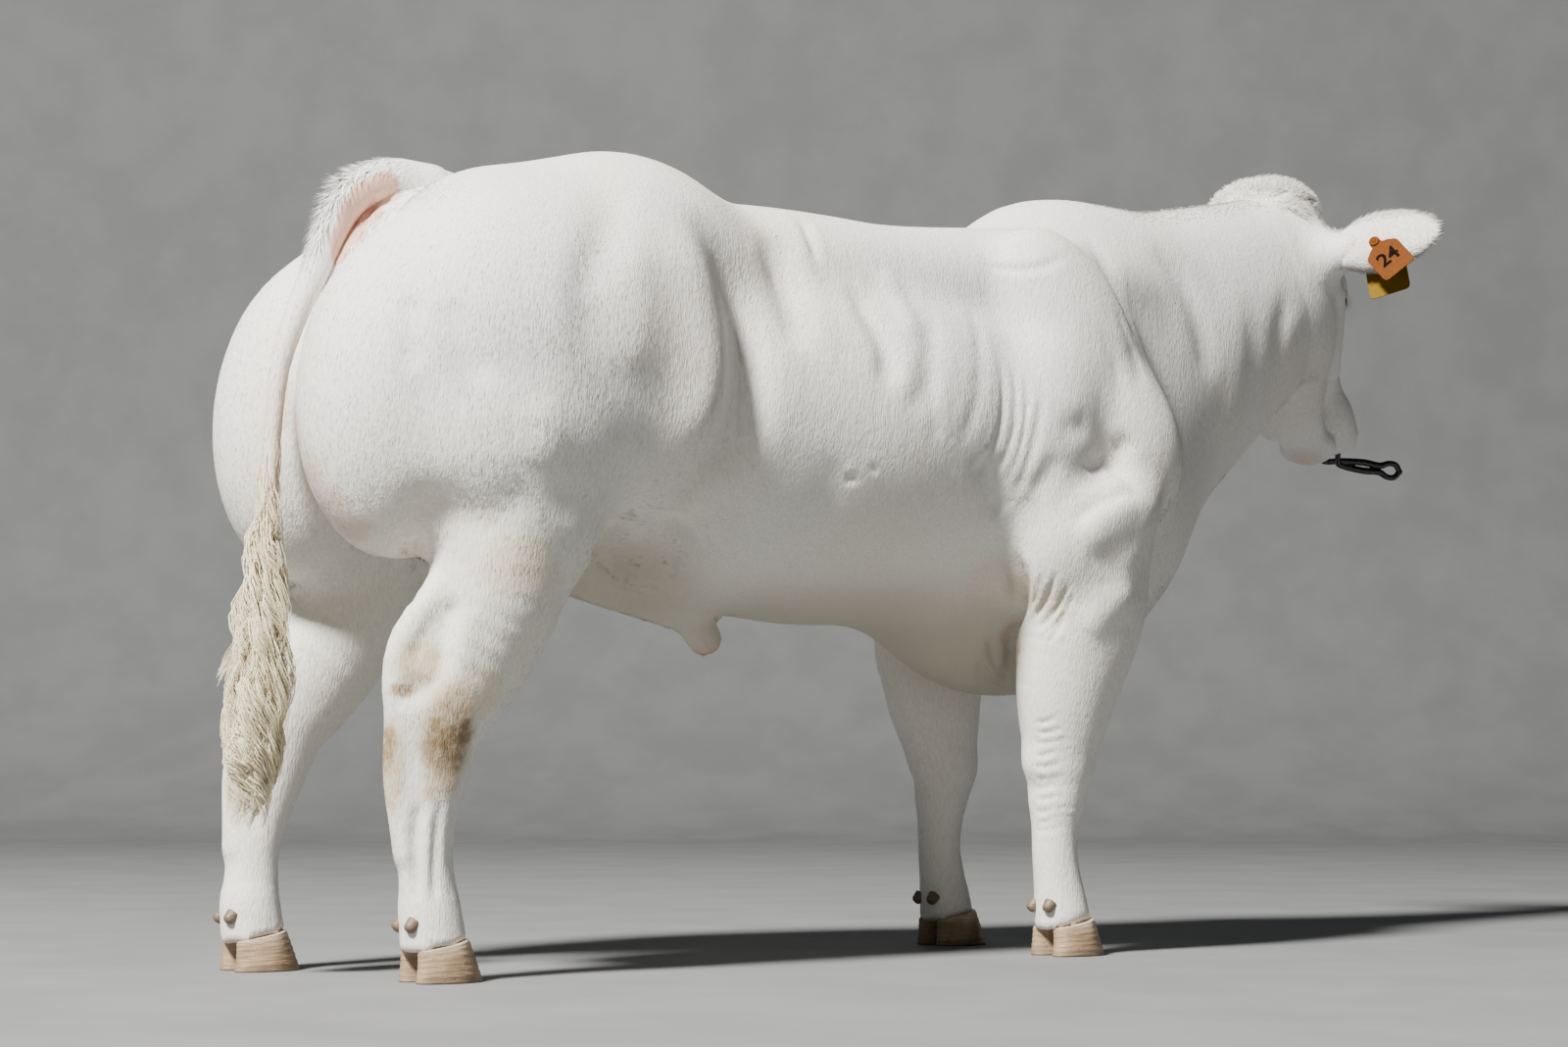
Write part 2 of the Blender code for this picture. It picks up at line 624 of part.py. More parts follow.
def leg_region(name, home, side, rise=0.0):
    """What belongs to a leg: all that lies below its upper cut, raised by rise."""
    if name.startswith("hind"):
        top = HIND_CUT_HEIGHT + rise
        outline = [(0.075, -0.05), (0.5, -0.05), (0.5, top), (0.075, top)]
        ends = (-1.2, -0.40)
    else:
        inner, outer = 0.03, 0.50
        rise *= math.hypot(1.0, FORE_CUT_SLOPE)
        tops = [FORE_CUT_HEIGHT + FORE_CUT_SLOPE * y + rise for y in (inner, outer)]
        outline = [(inner, -0.05), (outer, -0.05), (outer, tops[1]), (inner, tops[0])]
        ends = (0.25, 0.80)
    outline = [(side * y, z) for y, z in outline]
    return prism("region " + name, home, outline, *ends)


def coronet(leg, offset=0.0):
    x, y = leg["foot"]
    normal = Vector((CORONET_SLOPE, 0, -1)).normalized()
    return Vector((x + 0.012, y, CORONET_HEIGHT)) - offset * normal, normal


# The levels of a claw: height (none is the slanting top), how far the toe and the heel are moved back,
# and how wide the claw is
CLAW_LEVELS = [(0.0, 0.0, 0.0, 1.0), (0.012, 0.006, 0.002, 1.03), (0.035, 0.016, 0.004, 1.0),
               (None, 0.026, 0.004, 0.94)]
CLAW_FORWARD = 0.022
CLAW_SIDES = 14


def make_claw(name, home, leg, outer):
    """One claw of a foot. outer is 1 for the claw on the bull's left of the cleft, else -1."""
    x, y = leg["foot"]
    centre_x = x + CLAW_FORWARD
    inner = y + outer * CLAW_CLEFT
    points, rings = [], []
    for height, toe_back, heel_in, wide in CLAW_LEVELS:
        ring = []
        for step in range(CLAW_SIDES):
            angle = 2 * math.pi * (step + 0.5) / CLAW_SIDES
            along, across = math.cos(angle), math.sin(angle)
            half = CLAW_LENGTH / 2
            px = centre_x + half * along - (toe_back if along > 0 else -heel_in) * abs(along)
            bulge = 0.5 * (1 + math.copysign(abs(across) ** 0.8, across))
            narrow = 1.0 - 0.35 * max(0.0, along) ** 2
            py = inner + outer * CLAW_WIDTH * wide * bulge * narrow
            if height is None:
                point, normal = coronet(leg, -GAP)
                pz = point.z - normal.x * (px - point.x) / normal.z
            else:
                pz = height
            ring.append(len(points))
            points.append((px, py, pz))
        rings.append(ring)
    faces = [tuple(reversed(rings[0])), tuple(rings[-1])]
    for low, high in zip(rings, rings[1:]):
        for i in range(CLAW_SIDES):
            j = (i + 1) % CLAW_SIDES
            faces.append((low[i], low[j], high[j], high[i]))
    made = solid(name, mesh_from(name, points, faces), home)
    mesh = bmesh.new()
    mesh.from_mesh(made.data)
    bmesh.ops.recalc_face_normals(mesh, faces=mesh.faces)
    bmesh.ops.triangulate(mesh, faces=mesh.faces)
    mesh.to_mesh(made.data)
    mesh.free()
    paint(made, HORN, 0.45)
    return made


# A dewclaw: where it starts and ends, back, aside and up from the foot's middle, and its radius there
DEWCLAW = {"start": (-0.036, 0.021, 0.092), "end": (-0.057, 0.024, 0.074),
           "radius": 0.0105, "end_radius": 0.0065}


def make_dewclaw(name, home, cutters, leg, leg_solid, outer):
    """One of the two small claws behind a fetlock, sunk in a socket in the leg."""
    x, y = leg["foot"]
    start, end = (Vector((x + back, y + outer * aside, up))
                  for back, aside, up in (DEWCLAW["start"], DEWCLAW["end"]))
    radius, end_radius = DEWCLAW["radius"], DEWCLAW["end_radius"]
    made = tube(name, home, start, end, radius, end_radius, sides=10)
    step = GAP * (end - start).normalized()
    hole = tube("hole " + name, cutters, start - step, end + 4 * step, radius + GAP, end_radius + GAP, sides=10)
    hide(hole)
    combine(leg_solid, hole, "DIFFERENCE")
    paint(made, HORN, 0.5)


def plate(name, home, outline, thickness, place):
    """A flat plate of an outline, with its back face on z = 0 of its place."""
    curve = bpy.data.curves.new(name, "CURVE")
    curve.dimensions, curve.fill_mode, curve.extrude = "2D", "BOTH", thickness / 2
    spline = curve.splines.new("POLY")
    spline.points.add(len(outline) - 1)
    spline.use_cyclic_u = True
    for point, (u, v) in zip(spline.points, outline):
        point.co = (u, v, 0, 1)
    drawn = bpy.data.objects.new(name + " outline", curve)
    home.objects.link(drawn)
    graph = bpy.context.evaluated_depsgraph_get()
    data = bpy.data.meshes.new_from_object(drawn.evaluated_get(graph))
    bpy.data.objects.remove(drawn, do_unlink=True)
    mesh = bmesh.new()
    mesh.from_mesh(data)
    bmesh.ops.remove_doubles(mesh, verts=mesh.verts, dist=GAP / 10)
    bmesh.ops.transform(mesh, matrix=place @ Matrix.Translation((0, 0, thickness / 2)), verts=mesh.verts)
    bmesh.ops.recalc_face_normals(mesh, faces=mesh.faces)
    mesh.to_mesh(data)
    mesh.free()
    return solid(name, data, home)


def tag_outline(length, width, neck):
    """A tag that hangs from its hole at the origin: a round neck, shoulders and a body."""
    half = [(-0.011, 0.0), (-0.0095, 0.55 * neck), (-0.005, 0.95 * neck), (0.004, neck), (0.010, 1.05 * neck),
            (0.015, 0.60 * width), (0.024, 0.92 * width), (0.030, width), (length - 0.010, width),
            (length - 0.003, 0.95 * width), (length, 0.80 * width)]
    half = [(u, v / 2) for u, v in half]
    return half + [(u, -v) for u, v in reversed(half[1:])]


TAG = {
    "pin": (0.102, -0.016),
    "pin_radius": 0.0032,
    "head_radius": 0.0105,
    "head_height": 0.0030,
    "neck": 0.022,
    "thickness": 0.0018,
    "back": {"length": 0.092, "width": 0.072, "turn": -60, "height": 0.0315, "colour": TAG_ORANGE},
    "front": {"length": 0.090, "width": 0.082, "turn": -86, "height": -0.0265, "colour": TAG_YELLOW},
}


def make_tag(parts, cutters, ear, frame):
    """The tag's two plates, before and behind the right ear, and the stud that holds them."""
    x, y = TAG["pin"]
    radius = TAG["pin_radius"]
    plates = []
    for name in ("back", "front"):
        size = TAG[name]
        place = frame @ Matrix.Translation((x, y, size["height"]))
        place = place @ Matrix.Rotation(math.radians(size["turn"]), 4, "Z")
        outline = tag_outline(size["length"], size["width"], TAG["neck"])
        made = plate("tag_" + name, parts, outline, TAG["thickness"], place)
        paint(made, size["colour"], 0.45)
        plates.append(made)
    top = TAG["back"]["height"] + TAG["thickness"] + GAP
    bottom = TAG["front"]["height"] - GAP
    inside = TAG["head_height"] / 2
    stud = tube("tag_stud", parts, frame @ Vector((x, y, bottom - inside)),
                frame @ Vector((x, y, top + inside)), radius, sides=12)
    for low, high in ((bottom - TAG["head_height"], bottom), (top, top + TAG["head_height"])):
        head = tube("stud head", cutters, frame @ Vector((x, y, low)), frame @ Vector((x, y, high)),
                    TAG["head_radius"], sides=12)
        combine(stud, head, "UNION")
        bpy.data.objects.remove(head, do_unlink=True)
    hole = tube("hole stud", cutters, frame @ Vector((x, y, bottom - 0.02)),
                frame @ Vector((x, y, top + 0.02)), radius + GAP, sides=12)
    hide(hole)
    for piece in plates + [ear]:
        combine(piece, hole, "DIFFERENCE")
    paint(stud, TAG_ORANGE, 0.45)


# The nose clamp: where it grips, in the head's frame, and the way that it hangs
CLAMP_GRIP = Vector((0.538, -0.004, -0.056))
CLAMP_WAY = (HEAD.to_3x3().inverted() @ Vector((0.138, -0.066, -0.020))).normalized()
CLAMP_ACROSS = CLAMP_WAY.cross(HEAD.to_3x3().inverted() @ Vector((0, 0, 1)).cross(CLAMP_WAY)).normalized()
# Each row of an arm: how far along the clamp, how far aside, and its radius
CLAMP_ARM = [(0.022, 0.0045, 0.0066), (0.070, 0.0085, 0.0072), (0.104, 0.0065, 0.0070),
             (0.122, 0.0140, 0.0060), (0.138, 0.0130, 0.0060), (0.148, 0.0000, 0.0060)]
CLAMP_ROOM = 0.0018


def shape_clamp(clay, grow=0.0):
    """Two arms that grip between the nostrils, run side by side and end in a ring."""
    for side in (1, -1):
        stations = [(CLAMP_GRIP + Vector((-0.010, 0.0170 * side, 0.004)), 0.0066),
                    (CLAMP_GRIP + Vector((0.002, 0.0195 * side, 0.002)), 0.0058),
                    (CLAMP_GRIP + Vector((0.017, 0.0150 * side, 0.004)), 0.0060)]
        for along, aside, radius in CLAMP_ARM:
            point = CLAMP_GRIP + Vector((0.018, 0, 0.003)) + along * CLAMP_WAY + side * aside * CLAMP_ACROSS
            stations.append((point, radius))
        clay.chain([(point, radius + grow, 1.0) for point, radius in stations], soft=0.002, frame=HEAD)


def make_clamp(parts, cutters, head):
    middle = HEAD @ (CLAMP_GRIP + 0.07 * CLAMP_WAY)
    reach = Vector((0.11, 0.09, 0.07))
    clamp = sculpt("nose_clamp", parts, shape_clamp, middle - reach, middle + reach, *DETAIL["clamp"])
    hole = sculpt("hole clamp", cutters, lambda clay: shape_clamp(clay, CLAMP_ROOM),
                  middle - reach, middle + reach, *DETAIL["clamp"])
    hide(hole)
    combine(head, hole, "DIFFERENCE")
    keep_largest(clamp)
    paint(clamp, CLAMP_BLACK, 0.12, 0.6)


def make_lock(name, home, stations, thin=0.4):
    """A flat tapered lock through stations of (point, width, direction across)."""
    points, faces = [], []
    count = len(stations)
    for i, (point, width, across) in enumerate(stations):
        point = Vector(point)
        along = Vector(stations[min(i + 1, count - 1)][0]) - Vector(stations[max(i - 1, 0)][0])
        side = (Vector(across) - Vector(across).project(along)).normalized()
        up = along.cross(side).normalized()
        for a, b in ((1, 0), (0, thin), (-1, 0), (0, -thin)):
            points.append(point + 0.5 * width * (a * side + b * up))
    for i in range(count - 1):
        for k in range(4):
            a, b = 4 * i + k, 4 * i + (k + 1) % 4
            faces.append((a, b, b + 4, a + 4))
    faces += [(3, 2, 1, 0), tuple(4 * (count - 1) + k for k in range(4))]
    made = solid(name, mesh_from(name, points, faces), home)
    mesh = bmesh.new()
    mesh.from_mesh(made.data)
    bmesh.ops.recalc_face_normals(mesh, faces=mesh.faces)
    bmesh.ops.triangulate(mesh, faces=mesh.faces)
    mesh.to_mesh(made.data)
    mesh.free()
    return made


def join_all(thing, pieces, name):
    """Fuses many closed pieces to one thing, and removes the pieces."""
    union = thing.modifiers.new(name, "BOOLEAN")
    union.operation = "UNION"
    union.operand_type = "COLLECTION"
    union.collection = pieces
    union.solver = "EXACT"
    apply_modifiers(thing)
    for piece in list(pieces.objects):
        bpy.data.objects.remove(piece, do_unlink=True)
    bpy.data.collections.remove(pieces)


SWITCH = {"locks": 15, "wave": 0.010, "width": 0.084, "thinnest": 0.004}
# The switch's middle and half width, from the top down: height, x, y, half width
SWITCH_ROWS = [(0.80, -0.9585, 0.000, 0.0160), (0.74, -0.9600, 0.001, 0.0175), (0.66, -0.9640, 0.004, 0.028),
               (0.56, -0.9660, 0.008, 0.044), (0.45, -0.9700, 0.014, 0.059), (0.36, -0.9720, 0.020, 0.052),
               (0.28, -0.9750, 0.026, 0.034), (0.20, -0.9780, 0.030, 0.014)]
GOLDEN_TURN = math.pi * (3 - math.sqrt(5))


def switch_core(z):
    """The middle and half width of the switch at a height."""
    rows = np.array(SWITCH_ROWS[::-1])
    return [float(np.interp(z, rows[:, 0], rows[:, i])) for i in (1, 2, 3)]


def shape_switch(clay):
    stations = []
    for z in (0.80, 0.74, 0.68, 0.62, 0.56, 0.48, 0.40, 0.32, 0.28):
        x, y, radius = switch_core(z)
        stations.append(((x, y, z), 0.016 if z > 0.7 else 0.55 * radius, 0.85))
    clay.chain(stations, flat_axis=(1, 0, 0), soft=0.003)


def make_switch(parts):
    """The hair at the end of the tail: a slim core and the locks that hang round it."""
    core = sculpt("tail_switch", parts, shape_switch, (-1.06, -0.08, 0.20), (-0.88, 0.12, 0.84),
                  *DETAIL["switch"])
    locks = collection("Locks")
    random = np.random.default_rng(7)
    count = SWITCH["locks"]
    for i in range(count):
        share = (i + 0.5) / count
        angle = GOLDEN_TURN * i + random.uniform(-0.2, 0.2)
        start = 0.70 - 0.30 * share
        bottom = start - random.uniform(0.20, 0.26)
        if i > count - 6:
            bottom = SWITCH_END + 0.016 * (count - 1 - i)
        bottom = max(bottom, SWITCH_END + 0.02)
        if i == count - 1:
            bottom = SWITCH_END
        out = Vector((0.75 * math.cos(angle), math.sin(angle), 0))
        across = Vector((-math.sin(angle), math.cos(angle), 0))
        phase = random.uniform(0, 6.28)
        stations = []
        for step in range(6):
            t = step / 5
            z = start + (bottom - start) * t
            x, y, radius = switch_core(z)
            wave = SWITCH["wave"] * math.sin(phase + 9.0 * t) * t
            near = 0.50 + 0.42 * math.sin(math.pi * min(0.5, 0.9 * t))
            point = Vector((x, y, z)) + out * radius * near + across * wave
            width = SWITCH["width"] * (0.45 + 1.25 * t - 1.62 * t * t)
            stations.append((point, max(SWITCH["thinnest"], width), across))
        make_lock(f"lock {i}", locks, stations)
    join_all(core, locks, "Locks")
    return core


# Each row of clumps over the poll, from the neck round to the forehead: its angle and how many clumps
WOOL_ROWS = [(-62, 4), (-27, 5), (8, 4), (43, 5), (78, 4), (104, 3)]


def make_poll_wool(head, surface_tree):
    """Rounded clumps of curly hair over the poll and between the ears."""
    clumps = collection("Clumps")
    random = np.random.default_rng(11)
    index = 0
    for angle, count in WOOL_ROWS:
        for k in range(count):
            y = 0.012 + (k - (count - 1) / 2) * 0.043 + random.uniform(-0.003, 0.003)
            turn = math.radians(angle + random.uniform(-4, 4))
            way = HEAD.to_3x3() @ Vector((-math.cos(turn), 1.6 * (y - 0.012), math.sin(turn)))
            start = HEAD @ Vector((0.060 if angle > 90 else 0.010, y, -0.070))
            hit, normal, _, _ = surface_tree.ray_cast(start, way.normalized())
            if hit is None:
                continue
            radius = random.uniform(0.0260, 0.0300)
            clump = make_ball(f"clump {index}", clumps, (0, 0, 0), 1.0, 7, 4)
            turn = Vector((0, 0, 1)).rotation_difference(normal).to_matrix().to_4x4()
            size = Matrix.Diagonal((radius, radius, radius * 0.62, 1))
            clump.data.transform(Matrix.Translation(hit) @ turn @ size)
            index += 1
    join_all(head, clumps, "Clumps")


def make_ball(name, home, centre, radius, segments=16, rings=8):
    mesh = bmesh.new()
    bmesh.ops.create_uvsphere(mesh, u_segments=segments, v_segments=rings, radius=radius)
    bmesh.ops.translate(mesh, vec=centre, verts=mesh.verts)
    data = bpy.data.meshes.new(name)
    mesh.to_mesh(data)
    mesh.free()
    return solid(name, data, home)


def shape_tail(clay, grow=0.0):
    clay.chain([(point, radius + grow, 1.0) for point, radius in TAIL], soft=0.003)


def main():
    for thing in list(bpy.data.objects):
        bpy.data.objects.remove(thing, do_unlink=True)
    parts = collection("Belgian Blue bull")
    cutters = collection("Cutters")

    body = sculpt("body", parts, shape_body, (-1.10, -0.48, -0.03), (1.50, 0.48, 1.62), *DETAIL["body"])
    neck_tool = half_space("region neck", cutters, *neck_cut())
    neck_hole = half_space("hole neck", cutters, *neck_cut(GAP))
    head_tool = half_space("region head", cutters, *head_cut())
    head_hole = half_space("hole head", cutters, *head_cut(GAP))
    tail_tool = half_space("region tail", cutters, *tail_cut())
    tail_low, tail_high = (-1.02, -0.08, 0.60), (-0.64, 0.08, 1.36)
    tail_hole = sculpt("hole tail", cutters, lambda clay: shape_tail(clay, TAIL_ROOM), tail_low, tail_high,
                       *DETAIL["tail"])
    hide(tail_hole)
    combine(tail_hole, half_space("hole tail end", cutters, *tail_cut(GAP)), "INTERSECT")

    neck = copy_of(body, "neck")
    combine(neck, neck_tool, "INTERSECT")
    combine(neck, head_hole, "DIFFERENCE")
    legs = {}
    for name, leg in LEGS.items():
        side = 1 if name.endswith("left") else -1
        node = name.replace("_", "leg_")
        legs[name] = copy_of(body, node)
        combine(legs[name], leg_region(name, cutters, side), "INTERSECT")
        foot = half_space("hole foot " + name, cutters, *coronet(leg), size=(0.3, 0.3, 0.2))
        combine(legs[name], foot, "DIFFERENCE")
        combine(body, leg_region(name, cutters, side, GAP), "DIFFERENCE")
        for outer, label in ((1, "left"), (-1, "right")):
            make_claw(f"claw_{name}_{label}", parts, leg, outer)
            make_dewclaw(f"dewclaw_{name}_{label}", parts, cutters, leg, legs[name], outer)
    combine(body, neck_hole, "DIFFERENCE")
    combine(body, tail_hole, "DIFFERENCE")
    body.name = body.data.name = "torso"

    head = sculpt("head", parts, shape_head_and_neck, *head_bounds(), *DETAIL["head"])
    make_poll_wool(head, BVHTree.FromObject(head, bpy.context.evaluated_depsgraph_get()))
    combine(head, head_tool, "INTERSECT")
    for side, label in ((1, "left"), (-1, "right")):
        eye = HEAD @ Vector((EYE.x, side * EYE.y, EYE.z))
        ball = make_ball("eye_" + label, parts, eye, EYE_RADIUS)
        paint(ball, EYE_BROWN, 0.08)
        hole = make_ball("hole eye " + label, cutters, eye, EYE_RADIUS + GAP)
        hide(hole)
        combine(head, hole, "DIFFERENCE")
        frame = ear_frame(side)
        point, normal = ear_cut(frame)
        reach = Vector((0.16, 0.16, 0.16))
        middle = frame @ Vector((0.10, 0, 0))
        ear = sculpt("ear_" + label, parts, lambda clay, ear=frame: shape_ear(clay, ear),
                     middle - reach, middle + reach, *DETAIL["ear"])
        combine(ear, half_space("region ear " + label, cutters, point, normal), "INTERSECT")
        gap_point = point - GAP * normal
        hole = tube("hole ear " + label, cutters, gap_point, gap_point + 0.10 * normal, 0.080, sides=24)
        hide(hole)
        combine(head, hole, "DIFFERENCE")
        if side < 0:
            make_tag(parts, cutters, ear, frame)
        paint(ear, PINK, 0.7)
        keep_largest(ear)
    make_clamp(parts, cutters, head)

    tail = sculpt("tail", parts, shape_tail, tail_low, tail_high, *DETAIL["tail"])
    combine(tail, tail_tool, "INTERSECT")
    switch = make_switch(parts)
    end = Vector((TAIL[-2][0][0], 0, SWITCH_TOP))
    above = half_space("hole above switch", cutters, end, (0, 0, 1), size=(0.3, 0.3, 0.3))
    combine(switch, above, "DIFFERENCE")
    end.z += GAP
    below = half_space("hole below tail", cutters, end, (0, 0, -1), size=(0.3, 0.3, 0.3))
    combine(tail, below, "DIFFERENCE")

    for piece in [body, neck, head, tail, switch] + list(legs.values()):
        keep_largest(piece)
        paint(piece, COAT, 0.75)
    centre_everything(parts)


def head_bounds():
    corners = [HEAD @ Vector(c) for c in ((-0.2, -0.2, -0.35), (0.62, 0.2, 0.08), (0.62, 0.2, -0.35),
                                          (-0.2, 0.2, 0.08), (0.62, -0.2, 0.08), (-0.2, -0.2, 0.08),
                                          (0.62, -0.2, -0.35), (-0.2, 0.2, -0.35))]
    low = [min(c[i] for c in corners) for i in range(3)]
    high = [max(c[i] for c in corners) for i in range(3)]
    return low, high


def shape_head_and_neck(clay):
    shape_neck(clay)
    shape_head(clay)
    # The block ends a little beyond the cut, so that the neck is closed there
    point, normal = head_cut(0.03)
    x, y, z = np.meshgrid(*clay.axes, indexing="ij", sparse=True)
    depth = (point.x - x) * normal.x + (point.y - y) * normal.y + (point.z - z) * normal.z
    clay.field = np.maximum(clay.field, depth).astype(np.float32)


def ear_cut(frame):
    normal = (frame.to_3x3() @ Vector((1, 0, 0))).normalized()
    return frame @ Vector((0.022, 0, 0)), normal


def centre_everything(parts):
    """Puts the origin under the middle of the bull, on the floor."""
    shift = Matrix.Translation((-CENTRE[0], -CENTRE[1], 0))
    for piece in parts.objects:
        piece.data.transform(shift)


if __name__ == "__main__":
    main()
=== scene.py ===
import math

import bmesh
import bpy
import numpy as np
import openvdb
from mathutils import Euler, Matrix, Vector
from mathutils.bvhtree import BVHTree


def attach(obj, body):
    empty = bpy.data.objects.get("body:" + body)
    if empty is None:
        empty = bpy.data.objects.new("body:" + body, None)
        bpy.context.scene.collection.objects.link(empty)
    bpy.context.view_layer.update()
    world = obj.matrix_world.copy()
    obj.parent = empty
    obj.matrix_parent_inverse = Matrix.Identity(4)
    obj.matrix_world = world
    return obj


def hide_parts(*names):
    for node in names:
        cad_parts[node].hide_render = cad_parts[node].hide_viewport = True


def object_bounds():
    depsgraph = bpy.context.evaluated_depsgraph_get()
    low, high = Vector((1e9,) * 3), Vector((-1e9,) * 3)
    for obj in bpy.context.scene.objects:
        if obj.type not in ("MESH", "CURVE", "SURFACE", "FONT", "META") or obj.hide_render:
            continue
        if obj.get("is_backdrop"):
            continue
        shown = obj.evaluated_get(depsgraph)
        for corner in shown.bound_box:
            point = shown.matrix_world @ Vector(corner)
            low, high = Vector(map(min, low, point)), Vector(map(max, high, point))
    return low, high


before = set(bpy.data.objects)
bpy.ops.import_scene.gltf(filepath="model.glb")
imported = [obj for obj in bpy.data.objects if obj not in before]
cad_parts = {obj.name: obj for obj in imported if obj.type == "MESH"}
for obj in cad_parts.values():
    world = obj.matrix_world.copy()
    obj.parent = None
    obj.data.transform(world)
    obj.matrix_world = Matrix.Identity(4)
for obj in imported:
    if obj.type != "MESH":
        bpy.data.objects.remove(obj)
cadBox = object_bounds()
print("frame loaded:", len(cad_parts), "nodes")

# The bull is shaped with its shoulders near x = 0.5 and moved to the middle of the floor at the end
centre = Vector((0.2993, 0.0297, 0))
farAway = 1.0  # the field's value where no mass reaches

# Where each leg's foot, hock or knee, and upper leg are, on the floor plan
legs = {
    "hindRight": {"foot": (-0.775, -0.205), "joint": (-0.782, -0.215), "top": (-0.665, -0.225)},
    "hindLeft": {"foot": (-0.898, 0.200), "joint": (-0.848, 0.212), "top": (-0.70, 0.225)},
    "foreRight": {"foot": (0.452, -0.190), "joint": (0.450, -0.200), "top": (0.485, -0.225)},
    "foreLeft": {"foot": (0.478, 0.190), "joint": (0.492, 0.200), "top": (0.475, 0.225)},
}
hockHeight, kneeHeight = 0.425, 0.335
legTop, legFoot = 0.62, 0.10  # heights between which a leg's line bends
coronetHeight, coronetSlope = 0.058, 0.20

# The head is carried low and turned a little to the left
poll = Vector((1.278, 0.116, 1.478))
headYaw = math.radians(22)
headPitch = math.radians(62)
head = Matrix.Translation(poll) @ Euler((0, headPitch, headYaw)).to_matrix().to_4x4()
headTurn = head.to_3x3()
intoHead = headTurn.inverted()
eye = Vector((0.208, 0.102, -0.066))
eyeRadius = 0.020

# The tail, from where it leaves the rump down to its end, with its radius at each point
tail = [
    ((-0.600, 0, 1.225), 0.055), ((-0.690, 0, 1.262), 0.046), ((-0.765, 0, 1.270), 0.039),
    ((-0.822, 0, 1.240), 0.034), ((-0.857, 0, 1.187), 0.030), ((-0.888, 0, 1.110), 0.026),
    ((-0.922, 0, 1.030), 0.022), ((-0.946, 0, 0.950), 0.019), ((-0.955, 0, 0.860), 0.017),
    ((-0.959, 0, 0.770), 0.0155), ((-0.961, 0, 0.700), 0.0150),
]


def smoothRows(rows, steps):  # more rows between the given ones, on a smooth curve through them
    padded = np.vstack([2 * rows[0] - rows[1], rows, 2 * rows[-1] - rows[-2]])
    made = []
    for before, start, end, after in zip(padded, padded[1:], padded[2:], padded[3:]):
        for step in range(steps):
            t = step / steps
            made.append(0.5 * (2 * start + (end - before) * t
                               + (2 * before - 5 * start + 4 * end - after) * t**2
                               + (3 * start - before - 3 * end + after) * t**3))
    made.append(rows[-1])
    return np.array(made)


